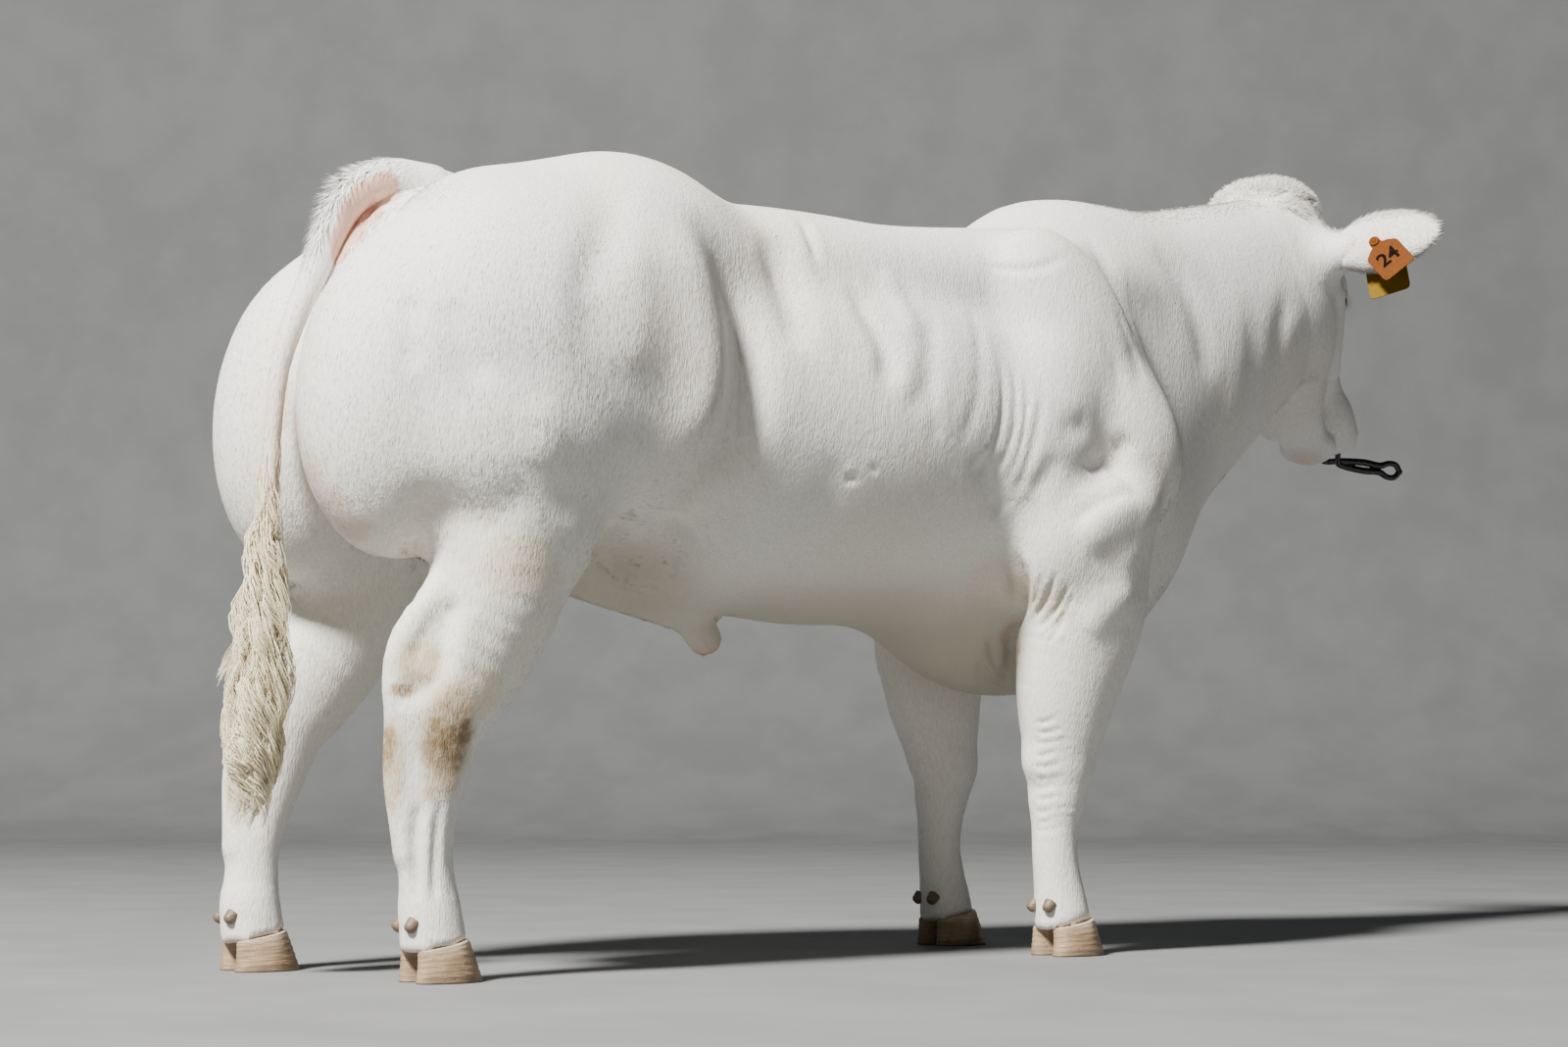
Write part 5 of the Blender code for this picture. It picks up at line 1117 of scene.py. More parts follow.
def coatTree():
    tree, nodes, given = treeFor("short coat", {"Region": "Int", "Tufts per square metre": "Float",
                                                "Width": "Float", "Thin": "Float", "Seed": "Int",
                                                "Material": "Material"})
    here = nodes.node("FunctionNodeCompare", {"data_type": "INT", "operation": "EQUAL"},
                      {"A": named(nodes, "region", "INT"), "B": given["Region"]})
    points = nodes.node("GeometryNodeDistributePointsOnFaces", None,
                        {"Mesh": given["Geometry"], "Selection": here, "Seed": given["Seed"],
                         "Density": named(nodes, "grow") * given["Tufts per square metre"]})
    away = named(nodes, "away", "FLOAT_VECTOR")
    points = stored(nodes, points, "shade", anyOf(nodes, 0.0, 1.0, 5))
    points = nodes.node("GeometryNodeSetPosition", None,
                        {"Geometry": points,
                         "Offset": nodes.vector("MULTIPLY", away, (-coatSizes["sink"],) * 3)})
    stray = combined(nodes, *(anyOf(nodes, -coatSizes["stray"], coatSizes["stray"], seed)
                              for seed in (1, 2, 3)))
    lift = named(nodes, "lift") * anyOf(nodes, 0.6, 1.4, 4)
    raised = nodes.vector("MULTIPLY", away, combined(nodes, lift, lift, lift))
    way = nodes.vector("ADD", nodes.vector("ADD", named(nodes, "lie", "FLOAT_VECTOR"), raised), stray)
    turn = aligned(nodes, aligned(nodes, None, way, "Z"), away, "Y", "Z")
    tuft = nodes.node("GeometryNodeMeshCone", {"fill_type": "NGON"},
                      {"Vertices": 3, "Side Segments": 1, "Fill Segments": 1, "Radius Top": 0.0,
                       "Radius Bottom": 0.5, "Depth": 1.0}, "Mesh")
    tuft = stored(nodes, tuft, "inTuft", nodes.node("GeometryNodeInputPosition"), "FLOAT_VECTOR")
    hair = named(nodes, "hair") * anyOf(nodes, 0.7, 1.25, 6)
    narrowed = nodes.node("ShaderNodeMapRange", None,
                          {"Value": named(nodes, "hair"), "From Min": 0.004, "From Max": 0.016,
                           "To Min": 0.55, "To Max": 1.0}, "Result")
    wide = given["Width"] * anyOf(nodes, 0.75, 1.3, 7) * narrowed
    tufts = nodes.node("GeometryNodeInstanceOnPoints", None,
                       {"Points": points, "Instance": tuft, "Rotation": turn,
                        "Scale": combined(nodes, wide, wide * given["Thin"], hair)})
    tufts = nodes.node("GeometryNodeRealizeInstances", None, {"Geometry": tufts})
    ownNormal = nodes.vector("MULTIPLY", nodes.node("GeometryNodeInputNormal"),
                             (coatSizes["roundness"],) * 3)
    shading = nodes.vector("ADD", named(nodes, "away", "FLOAT_VECTOR"), ownNormal)
    tufts = nodes.node("GeometryNodeSetMeshNormal", {"mode": "FREE"},
                       {"Mesh": tufts, "Custom Normal": shading})
    inTuft = nodes.node("ShaderNodeSeparateXYZ", None, {0: named(nodes, "inTuft", "FLOAT_VECTOR")})
    x, y, z = (Wire(nodes, socket) for socket in inTuft.socket.node.outputs)
    patch = combined(nodes, x * bakePatch, (z * 0.8 + y * 0.2) * bakePatch, 0.0)
    place = nodes.vector("ADD", named(nodes, "OFBake", "FLOAT_VECTOR"), patch)
    tufts = stored(nodes, tufts, "OFBake", place, "FLOAT2", "CORNER")
    finishTree(tree, tufts, nodes, given["Material"])
    return tree


def strandTree():
    tree, nodes, given = treeFor("locks", {"Sides": "Int", "Flatness": "Float", "Material": "Material"})
    curve = nodes.node("GeometryNodeMeshToCurve", None, {"Mesh": given["Geometry"]})
    ring = nodes.node("GeometryNodeCurvePrimitiveCircle", None,
                      {"Resolution": given["Sides"], "Radius": 1.0})
    ring = nodes.node("GeometryNodeTransform", None,
                      {"Geometry": ring, "Scale": combined(nodes, 1.0, given["Flatness"], 1.0)})
    mesh = nodes.node("GeometryNodeCurveToMesh", None,
                      {"Curve": curve, "Profile Curve": ring, "Scale": named(nodes, "thick"),
                       "Fill Caps": True})
    number = nodes.node("GeometryNodeInputIndex")
    around = nodes.node("ShaderNodeMath", {"operation": "MODULO"}, {0: number, 1: given["Sides"]})
    patch = combined(nodes, named(nodes, "along") * bakePatch, around / given["Sides"] * bakePatch, 0.0)
    place = nodes.vector("ADD", named(nodes, "rootPlace", "FLOAT_VECTOR"), patch)
    mesh = stored(nodes, mesh, "OFBake", place, "FLOAT2", "CORNER")
    finishTree(tree, mesh, nodes, given["Material"])
    return tree


def grown(name, source, tree, sizes):  # the plain mesh that a tree makes on a mesh
    thing = added(name, source.data)
    modifier = thing.modifiers.new("nodes", "NODES")
    modifier.node_group = tree
    sockets = {item.name: item.identifier for item in tree.interface.items_tree
               if item.item_type == "SOCKET" and item.in_out == "INPUT"}
    for label, value in sizes.items():
        modifier[sockets[label]] = value
    mesh = plainMesh(thing)
    thing.modifiers.clear()
    thing.data = mesh
    mesh.name = name
    for label in (*guides, "inTuft", "rootPlace", "thick"):
        if label in mesh.attributes:
            mesh.attributes.remove(mesh.attributes[label])
    if "OFBake" in mesh.uv_layers:
        mesh.uv_layers["OFBake"].active = True
    counted(thing)
    return thing


def unit(vectors):
    return vectors / np.maximum(np.linalg.norm(vectors, axis=-1, keepdims=True), 1e-9)


def eased(value, low, high):  # 0 below low, 1 above high, smooth between
    t = np.clip((value - low) / (high - low), 0, 1)
    return t * t * (3 - 2 * t)


def coatLie(points, normals):  # the lie, length, lift and density of the coat at each point
    x, y, z = points.T
    local = inHead(points)
    way = np.stack([np.full(len(x), -1.0), np.zeros(len(x)), np.full(len(x), -0.55)], 1)
    thigh = eased(-x, 0.30, 0.62) * (1 - eased(z, 1.05, 1.25))
    way[:, 0] += 0.75 * thigh
    way[:, 2] -= 0.8 * thigh
    leg = 1 - eased(z, 0.50, 0.72)
    way[:, 0] *= 1 - 0.8 * leg
    way[:, 2] -= 1.0 * leg
    neck = eased(x, 0.75, 0.98)
    way[:, 2] -= 0.25 * neck
    isHead = eased(local[:, 0], -0.06, 0.04) * (x > 1.0)
    down = np.array(headTurn @ Vector((1, 0, 0)))
    out = unit(points - np.array(head @ Vector((0.30, 0, -0.10))))
    face = down * 0.9 + out * 0.25
    face = np.where((local[:, 0] < 0.12)[:, None], -down * 0.5 + np.array([0.2, 0, -0.2]), face)
    way = way * (1 - isHead)[:, None] + face * isHead[:, None]
    hair = np.full(len(x), coatSizes["hair"])
    hair += 0.004 * thigh
    hair -= 0.003 * leg
    hair -= 0.0035 * (1 - eased(z, 0.10, 0.22))
    crest = eased(normals[:, 2], 0.55, 0.9) * eased(x, 0.55, 0.80)
    hair += 0.007 * crest
    rear = eased(-x, 0.70, 0.82) * eased(z, 1.18, 1.26)
    hair += 0.008 * rear
    fringe = eased(-x, 0.78, 0.84) * eased(z, 1.08, 1.20)
    fringe *= eased(-normals[:, 0] + 0.8 * normals[:, 2], 0.35, 0.80)
    fringe *= eased(0.060 - np.abs(y), 0.0, 0.020)
    hair += 0.013 * fringe
    hair = hair * (1 - isHead) + coatSizes["headHair"] * isHead
    muzzle = eased(local[:, 0], 0.30, 0.46) * isHead
    hair -= 0.0035 * muzzle
    under = eased(-normals[:, 2], 0.3, 0.8) * eased(x, 0.45, 0.60)
    hair += 0.004 * under * (1 - muzzle)
    lift = 0.036 + 0.14 * crest + 0.30 * rear + 0.12 * under + 0.45 * fringe
    top = isHead * (local[:, 0] < 0.10) * eased(local[:, 2], -0.14, -0.06)
    hair += 0.008 * top
    lift += 0.45 * top
    grow = np.ones(len(x))
    nose = ((local[:, 0] > 0.500) & (local[:, 2] > -0.112) & (x > 1.0)).astype(float)
    grow *= 1 - nose
    for side in (1, -1):
        away = local - np.array((eye.x, side * eye.y, eye.z))
        grow *= eased(np.linalg.norm(away, axis=1), 0.020, 0.034)
    for spot, radii, tint, strength in seenMarks:
        if strength > 1.0:  # bare skin
            away = (points - np.array(seenAt(*spot))) / radii
            grow *= eased((away**2).sum(1), 0.35, 1.0)
    grow *= eased(z, 0.050, 0.066)
    return way, hair, lift, grow


def unwrapped(thing):  # lays the skin out flat, for the baked colours
    chosenAlone(thing)
    thing.data.uv_layers.new(name="OFBake")
    bpy.ops.object.mode_set(mode="EDIT")
    bpy.ops.mesh.select_all(action="SELECT")
    bpy.ops.uv.smart_project(angle_limit=math.radians(70), island_margin=0.002, area_weight=0.3)
    bpy.ops.object.mode_set(mode="OBJECT")


def attributed(mesh, name, kind, values, domain="POINT"):
    made = mesh.attributes.new(name, kind, domain)
    made.data.foreach_set("vector" if kind == "FLOAT_VECTOR" else "value", np.asarray(values).ravel())


coatEdges = {"rump": -0.40, "shoulder": 0.28, "legs": 0.56}


def regionOf(points):  # which piece of the coat each place belongs to
    x, y, z = points.T
    left = y > 0.0
    region = np.where(x < coatEdges["rump"], 0, np.where(x < coatEdges["shoulder"], 1, 2)) * 2 + left
    region = np.where(z < coatEdges["legs"], 6, region)
    onHead = (inHead(points)[:, 0] > -0.08) & (x > 0.98)
    return np.where(onHead, 7, region)


def layCoat(thing):
    points, normals = pointsOf(thing), normalsOf(thing)
    way, hair, lift, grow = coatLie(points, normals)
    x, y, z = points.T
    onTail = (x < -0.80) & (x < -0.80 - 0.30 * (1.24 - z))
    onTail &= (np.abs(y) < 0.036) & (z < 1.262) & (z > 0.69)
    way[onTail] = (-0.15, 0.0, -1.0)
    for side in (1, -1):
        place = earFrame(side)
        local = (points - np.array(place.translation)) @ np.array(place.to_3x3())
        onEar = (local[:, 0] > 0.03) & (local[:, 0] < 0.24)
        onEar &= (np.abs(local[:, 1]) < 0.08) & (np.abs(local[:, 2]) < 0.06)
        way[onEar] = np.array(place.to_3x3() @ Vector((1, 0, 0)))
        rim = onEar * eased(np.abs(local[:, 1]) / 0.055, 0.55, 0.95)
        cup = onEar & (local[:, 2] < 0.004) & (np.abs(local[:, 1]) < 0.038)
        hair[onEar] = coatSizes["earHair"]
        hair += 0.010 * rim
        lift[onEar] = 0.22
        lift += 0.2 * rim
        grow[cup] = 0.45
        hair[cup] = coatSizes["cupHair"]
        grow *= 1 + 0.8 * onEar
    way -= (way * normals).sum(1, keepdims=True) * normals
    way = unit(way)
    mesh = thing.data
    guideValues = {"lie": way, "away": normals, "hair": hair, "lift": lift, "grow": grow}
    for name, values in guideValues.items():
        attributed(mesh, name, "FLOAT_VECTOR" if values.ndim > 1 else "FLOAT", values)
    middles = np.array([face.center[:] for face in mesh.polygons])
    attributed(mesh, "region", "INT", regionOf(middles).astype(np.int32), "FACE")


strandRandom = np.random.default_rng(23)
between = strandRandom.uniform
anyAngle = 6.28


class Rooted:  # finds the nearest place on the skin, and its place on the skin's unwrap
    def __init__(self, thing):
        self.mesh = thing.data
        self.tree = BVHTree.FromObject(thing, bpy.context.evaluated_depsgraph_get())
        self.uv = self.mesh.uv_layers["OFBake"].data

    def place(self, point):
        number = self.tree.find_nearest(Vector(point))[2]
        face = self.mesh.polygons[number]
        corners = [self.uv[i].uv for i in face.loop_indices]
        middle = sum((Vector(corner) for corner in corners), Vector((0, 0))) / len(corners)
        return (middle.x, middle.y, 0.0)


def seenAt(u, v):  # the place on the skin that is seen at a point of the picture
    return rooted.tree.ray_cast(cameraPoint, rayThrough(u, v))[0]


def strandMesh(name, strands):  # guide lines for locks, from lists of (points, half widths, root place)
    points, edges, thick, along, root, shadeOf = [], [], [], [], [], []
    for line, widths, place in strands:
        first, tone = len(points), strandRandom.random()
        count = len(line)
        points.extend(line)
        edges.extend((first + i, first + i + 1) for i in range(count - 1))
        thick.extend(widths)
        along.extend(i / (count - 1) for i in range(count))
        root.extend([place] * count)
        shadeOf.extend([tone] * count)
    mesh = bpy.data.meshes.new(name)
    mesh.from_pydata([tuple(point) for point in points], edges, [])
    for label, values in (("thick", thick), ("along", along), ("shade", shadeOf)):
        attributed(mesh, label, "FLOAT", values)
    attributed(mesh, "rootPlace", "FLOAT_VECTOR", root)
    return bpy.data.objects.new(name, mesh)


# The switch at the end of the tail, in wavy locks

switchSizes = {"clumps": 60, "locksInClump": 26, "steps": 15, "halfWidth": 0.0011, "tip": 0.0003,
               "wave": 0.0150, "waves": 2.6, "spread": 0.0095, "clumpTurn": 2.399963, "top": 0.86,
               "lowestTop": 0.40, "end": 0.222, "lowest": 0.217}
# Height, middle and half width of the switch
switchRows = [
    (0.88, -0.9540, 0.000, 0.0165), (0.80, -0.9585, 0.000, 0.0185), (0.74, -0.9600, 0.001, 0.0220),
    (0.66, -0.9640, 0.004, 0.030), (0.56, -0.9660, 0.008, 0.046), (0.45, -0.9700, 0.014, 0.062),
    (0.36, -0.9720, 0.020, 0.054), (0.30, -0.9760, 0.026, 0.038), (0.20, -0.9800, 0.030, 0.016),
]


def switchCore(z):  # the middle and half width of the switch at a height
    rows = np.array(switchRows[::-1])
    return [np.interp(z, rows[:, 0], rows[:, i]) for i in (1, 2, 3)]


def switchStrands(rooted):
    strands = []
    count = switchSizes["clumps"]
    for clump in range(count):
        share = (clump + 0.5) / count
        angle = switchSizes["clumpTurn"] * clump
        top = switchSizes["top"] - (switchSizes["top"] - switchSizes["lowestTop"]) * share**0.8
        bottom = max(switchSizes["end"], top - between(0.26, 0.42))
        if clump > 0.6 * count:
            bottom = between(switchSizes["end"], 0.30)
        phase = between(0, anyAngle)
        waves = switchSizes["waves"] * between(0.8, 1.25)
        reach = between(0.72, 1.0) if share < 0.3 else between(0.5, 1.0)
        for _ in range(switchSizes["locksInClump"]):
            t = np.linspace(0, 1, switchSizes["steps"])
            start = top + between(-0.06, 0.02)
            z = start + (bottom + between(0, 0.05) - start) * t
            x, y, radius = switchCore(z)
            own = angle + between(-0.13, 0.13)
            swing = phase + between(-0.15, 0.15)
            out = 0.30 + (reach - 0.30) * np.sin(np.minimum(1.0, 1.6 * t) * math.pi / 2)
            wave = switchSizes["wave"] * t**0.6
            turnWave = wave * np.sin(swing + 2 * math.pi * waves * t)
            sideWave = wave * np.cos(swing + 2 * math.pi * waves * t)
            part = switchSizes["spread"] * (1 - 0.55 * t) * strandRandom.normal(0, 0.5, 3)[:, None]
            line = np.stack([x + 0.78 * np.cos(own) * (radius * out + sideWave) + part[0],
                             y + np.sin(own) * (radius * out + sideWave) + part[1],
                             z + 0.3 * part[2]], 1)
            line[:, 0] -= np.sin(own) * turnWave
            line[:, 1] += np.cos(own) * turnWave
            line[:, 2] = np.maximum(line[:, 2], switchSizes["lowest"])
            widths = switchSizes["halfWidth"] * (0.75 + 0.5 * t - 1.12 * t**3)
            root = rooted.place((x[0], y[0], max(z[0], tail[-1][0][2])))
            strands.append((line, np.maximum(widths, switchSizes["tip"]), root))
    return strands


# The curly hair on the poll, in clumps of short curls

wool = {"clumps": 165, "perClump": 26, "length": 0.030, "wave": 0.0022, "halfWidth": 0.00075,
        "steps": 6, "middle": 0.012, "reach": 0.098, "lowest": -0.138, "clumpRadius": 0.015}


def woolStrands(rooted):
    strands = []
    combed = headTurn @ Vector((0.30, 0, 0.25))
    t = np.linspace(0, 1, wool["steps"])[:, None]
    while len(strands) < wool["clumps"] * wool["perClump"]:
        y = wool["middle"] + wool["reach"] * between(-1, 1)
        turn = math.radians(between(-72, 112))
        way = headTurn @ Vector((-math.cos(turn), 1.6 * (y - wool["middle"]), math.sin(turn)))
        start = head @ Vector((0.010 + 0.05 * (turn > 1.4), y, -0.070))
        hit, normal = rooted.tree.ray_cast(start, way.normalized())[:2]
        if hit is None:
            continue
        if normal.dot(way) < 0:
            normal = -normal
        depth = (head.inverted() @ hit).z
        if depth < wool["lowest"]:
            continue
        place = rooted.place(hit)
        side = normal.orthogonal().normalized()
        other = normal.cross(side)
        lean = side * strandRandom.normal(0, 0.16) + other * strandRandom.normal(0, 0.16) + combed
        for _ in range(wool["perClump"]):
            angle = between(0, anyAngle)
            reach = wool["clumpRadius"] * math.sqrt(strandRandom.random())
            aside = math.cos(angle) * side + math.sin(angle) * other
            root = hit + reach * aside - 0.003 * normal
            length = wool["length"] * between(0.6, 1.0)
            length *= min(1.0, 0.5 + (depth - wool["lowest"]) / 0.05)
            length *= 1 - 0.62 * min(1.0, max(0.0, (turn - 1.25) / 0.65))  # short towards the forehead
            rise = unit(np.array(normal * 0.75 + lean + 0.25 * aside))
            swing = between(0, anyAngle) + t * 5.0
            line = np.array(root) + rise * (length * t) - np.array(normal) * (0.30 * length * t**2)
            line += np.array(side) * (wool["wave"] * t * np.cos(swing))
            line += np.array(other) * (wool["wave"] * t * np.sin(swing))
            line -= np.array(aside) * (0.25 * reach * t**2)
            strands.append((line, wool["halfWidth"] * (1.2 - 0.85 * t[:, 0] ** 2), place))
    return strands


# Lashes, and the long hair round and inside the ears

fringe = {"edge": 900, "cup": 170, "lashes": 34, "steps": 5}
earEdge = ((0.02, 0.05, 0.10, 0.15, 0.19, 0.215), (0.040, 0.049, 0.060, 0.052, 0.032, 0.008))


def fringeStrands(rooted):
    strands = []
    t = np.linspace(0, 1, fringe["steps"])

    def grow(place, start, way, bend, halfWidth):
        line = [list(place @ (start + way * s + bend * s * s)) for s in t]
        strands.append((np.array(line), halfWidth * (1.1 - t**2), rooted.place(place @ start)))

    for side in (1, -1):
        ear = earFrame(side)
        for number in range(fringe["edge"]):
            along = between(0.03, 0.21)
            edge = 1 if number % 2 else -1
            half = float(np.interp(along, *earEdge))
            start = Vector((along, edge * (half - 0.005), between(-0.010, 0.006)))
            way = Vector((0.75, edge * between(0.25, 0.9), between(-0.55, 0.25)))
            length = between(0.014, 0.026) * (0.8 if edge < 0 else 1.0)
            bend = Vector((0.3, -edge * 0.35, between(-0.3, 0.1)))
            grow(ear, start, way.normalized() * length, bend * length * 0.5, 0.00075)
        for _ in range(fringe["cup"]):
            start = Vector((between(0.045, 0.11), strandRandom.choice((-1, 1)) *
                            between(0.016, 0.036), -0.004))
            way = Vector((0.9, -start.y * 12, between(-0.6, -0.1)))
            length = between(0.020, 0.036)
            grow(ear, start, way.normalized() * length, Vector((0.2, 0, -0.15)) * length, 0.00058)
        for number in range(fringe["lashes"]):
            spread = (number / (fringe["lashes"] - 1) - 0.5) * 2
            start = Vector((eye.x + 0.018 * spread, side * (eye.y + 0.016 - 0.006 * spread**2),
                            eye.z + 0.0125))
            way = Vector((0.5 * spread + 0.3, side * 0.55, 0.30 + between(-0.1, 0.1)))
            grow(head, start, way.normalized() * 0.013, Vector((0.2, 0, -0.35)) * 0.009, 0.00042)
    return strands


# Eyes

eyeSizes = {"segments": 48, "rings": 32, "inset": 0.0004, "swell": 0.05, "iris": 0.0120,
            "pupil": (0.0080, 0.0036)}


def makeEye(label, side):
    middle = head @ Vector((eye.x, side * eye.y, eye.z))
    out = (headTurn @ Vector((0.10, side, 0.16))).normalized()
    up = (headTurn @ Vector((0, 0, 1))).normalized()
    across = up.cross(out).normalized()
    up = out.cross(across)
    mesh = bmesh.new()
    bmesh.ops.create_uvsphere(mesh, u_segments=eyeSizes["segments"], v_segments=eyeSizes["rings"],
                              radius=1.0)
    turn = Matrix((across, up, out)).transposed()
    for vert in mesh.verts:
        swell = 1.0 + eyeSizes["swell"] * max(0.0, (vert.co.z - 0.72) / 0.28)  # the eye's clear front
        vert.co = middle + turn @ (vert.co * (eyeRadius - eyeSizes["inset"]) * swell)
    data = bpy.data.meshes.new(label)
    mesh.to_mesh(data)
    mesh.free()
    data.shade_smooth()
    paint = Paint(label, Roughness=0.05, Specular_IOR_Level=0.6, Coat_Weight=1.0, Coat_Roughness=0.02)
    away = paint.vector("SUBTRACT", paint.place, tuple(middle - centre))
    wide, tall, front = (paint.vector("DOT_PRODUCT", away, tuple(axis), out="Value")
                         for axis in (across, up, out))
    ring = (wide * wide + tall * tall) ** 0.5
    slot = ((wide / eyeSizes["pupil"][0]) ** 2 + (tall / eyeSizes["pupil"][1]) ** 2) ** 0.5
    streak = paint.noise(1.0, 3, stretch=(900.0, 900.0, 900.0), place=away)
    iris = paint.blend(paint.smooth(streak, 0.3, 0.7), (0.055, 0.026, 0.012), (0.11, 0.055, 0.028))
    white = paint.blend(paint.smooth(streak, 0.4, 0.8), (0.42, 0.34, 0.28), (0.30, 0.20, 0.15))
    edge = eyeSizes["iris"]
    colour = paint.blend(paint.smooth(ring, edge * 1.05, edge * 1.25), iris, white)
    colour = paint.blend(paint.smooth(slot, 0.9, 1.1, 1.0, 0.0), colour, (0.008, 0.008, 0.012))
    colour = paint.blend(paint.smooth(front, 0.0, 0.006), white, colour)
    paint.set("Base Color", colour)
    return painted(added(label, data), paint.material)


# Hooves

claw = {"length": 0.118, "width": 0.054, "cleft": 0.003, "ridges": 0.0005, "bevel": 0.0022,
        "around": 44, "tall": 18}
dewclaw = {"start": (0.036, 0.021, 0.092), "end": (0.0495, 0.0235, 0.079), "radius": (0.0120, 0.0085),
           "around": 24, "tall": 12}
# How far the toe goes back and the heel comes in, and the width, at shares of a claw's height
clawShares = (0.0, 0.2, 0.6, 1.0)
clawRows = ((0.0, 0.006, 0.016, 0.026), (0.0, 0.002, 0.004, 0.004), (1.0, 1.03, 1.0, 0.94))


def makeClaw(label, leg, outer, paint):
    x, y = leg["foot"]
    middle, inner = x + 0.022, y + outer * claw["cleft"]
    normal = Vector((coronetSlope, 0, -1)).normalized()
    point = Vector((x + 0.012, y, coronetHeight)) + 0.0003 * normal
    points = []
    around, tall = claw["around"], claw["tall"]
    for level in range(tall + 1):
        share = level / tall
        toe, heel, wide = (float(np.interp(share, clawShares, row)) for row in clawRows)
        ridge = claw["ridges"] * math.sin(level * 2.1)
        for step in range(around):
            angle = 2 * math.pi * (step + 0.5) / around
            along, across = math.cos(angle), math.sin(angle)
            half = claw["length"] / 2 + ridge - 0.0012
            px = middle + half * along - (toe if along > 0 else -heel) * abs(along)
            bulge = 0.5 * (1 + math.copysign(abs(across) ** 0.8, across))
            narrow = 1.0 - 0.35 * max(0.0, along) ** 2
            py = inner + outer * (0.0008 + (claw["width"] - 0.0016 + ridge) * wide * bulge * narrow)
            top = point.z - normal.x * (px - point.x) / normal.z
            points.append((px, py, top * share))
    made = outward(newMesh(label, points, tubeFaces(tall, around)))
    for face in made.data.polygons:
        face.use_smooth = len(face.vertices) < 5
    bevel = made.modifiers.new("worn edge", "BEVEL")
    bevel.width, bevel.segments = claw["bevel"], 3
    bevel.limit_method, bevel.angle_limit = "ANGLE", math.radians(50)
    made.data = plainMesh(made)
    made.modifiers.clear()
    return painted(made, paint)


def makeDewclaw(label, leg, outer, paint):
    x, y = leg["foot"]
    start, end = (Vector((x - behind, y + outer * aside, height))
                  for behind, aside, height in (dewclaw["start"], dewclaw["end"]))
    turn = Vector((0, 0, 1)).rotation_difference(end - start).to_matrix().to_4x4()
    wide, narrow = dewclaw["radius"]
    rows = []
    for level in range(dewclaw["tall"] + 1):
        t = level / dewclaw["tall"]
        dome = math.sqrt(max(0.0, 1 - max(0.0, (t - 0.72) / 0.28) ** 2))
        radius = (wide + (narrow - wide) * t) * dome + 0.0003 * math.sin(level * 2.5)
        rows.append((radius, t * (end - start).length))
    made = turnedPiece(label, rows, Matrix.Translation(start) @ turn, dewclaw["around"], 0.0004)
    made.data.shade_smooth()
    return painted(made, paint)


def hornPaint():
    paint = Paint("hoof horn", Roughness=0.42, Specular_IOR_Level=0.45)
    low = paint.node("ShaderNodeSeparateXYZ", None, {0: paint.place}, 2)
    broad = paint.noise(30.0, 3)
    fibre = paint.noise(620.0, 3, stretch=(1.0, 1.0, 0.10))
    rings = paint.noise(260.0, 2, stretch=(0.15, 0.15, 1.0))
    colour = paint.blend(paint.smooth(broad, 0.35, 0.65), (0.42, 0.29, 0.175), (0.27, 0.18, 0.11))
    colour = paint.blend(paint.smooth(low, 0.035, 0.062), colour, (0.55, 0.43, 0.31))
    colour = paint.blend(paint.smooth(low, 0.063, 0.069), colour, (0.15, 0.105, 0.07))
    colour = paint.blend(paint.smooth(rings, 0.40, 0.62, 0.30, 0.0), colour, (0.18, 0.12, 0.07))
    colour = paint.blend(paint.smooth(low, 0.014, 0.0, 0.0, 0.55), colour, (0.16, 0.13, 0.08))
    paint.set("Base Color", colour)
    paint.set("Roughness", paint.smooth(broad, 0.3, 0.7, 0.36, 0.58))
    paint.bump(fibre * 0.0006 + rings * 0.0012, 1.0)
    return paint.material


# The ear tag: two moulded plates and their stud

tag = {"pin": (0.102, -0.016), "thickness": 0.0018, "edge": 0.0005, "neck": 0.0208, "hole": 0.0036,
       "figures": "24", "figureSize": 0.044, "figurePlace": 0.050,
       "tag_back": {"length": 0.092, "width": 0.072, "turn": -60, "height": 0.0315},
       "tag_front": {"length": 0.090, "width": 0.082, "turn": -86, "height": -0.0265}}


def tagOutline(length, width, neck):
    half = [(-0.011, 0.0), (-0.0095, 0.55 * neck), (-0.005, 0.95 * neck), (0.004, neck),
            (0.010, 1.05 * neck), (0.015, 0.60 * width), (0.024, 0.92 * width), (0.030, width),
            (length - 0.010, width), (length - 0.003, 0.95 * width), (length, 0.80 * width)]
    half = [(u, v / 2) for u, v in half]
    return half + [(u, -v) for u, v in reversed(half[1:])]


def solidOf(label, curve, place):  # the piece that a flat curve or figures make
    flat = added(label + "Curve", curve)
    mesh = plainMesh(flat)
    bpy.data.objects.remove(flat, do_unlink=True)
    mesh.transform(place)
    mesh.name = label
    return added(label, mesh)


def makePlate(label, place, size):
    curve = bpy.data.curves.new(label, "CURVE")
    curve.dimensions, curve.fill_mode = "2D", "BOTH"
    curve.extrude = tag["thickness"] / 2 - tag["edge"]
    curve.bevel_depth, curve.bevel_resolution = tag["edge"], 2
    outline = tagOutline(size["length"] - 0.0006, size["width"] - 0.0012, tag["neck"])
    angles = [a / 24 * 2 * math.pi for a in range(24)]
    hole = [(tag["hole"] * math.cos(angle), tag["hole"] * math.sin(angle)) for angle in angles]
    for ring in (outline, hole):
        spline = curve.splines.new("POLY")
        spline.points.add(len(ring) - 1)
        for point, (u, v) in zip(spline.points, ring):
            point.co = (u, v, 0, 1)
        spline.use_cyclic_u = True
    return solidOf(label, curve, place @ Matrix.Translation((0, 0, tag["thickness"] / 2)))


def numberOn(label, place, paint):  # plain raised figures
    text = bpy.data.curves.new(label, "FONT")
    text.body, text.size, text.extrude, text.offset = tag["figures"], tag["figureSize"], 0.0002, 0.0010
    text.align_x, text.align_y = "CENTER", "CENTER"
    return painted(solidOf(label, text, place), paint)


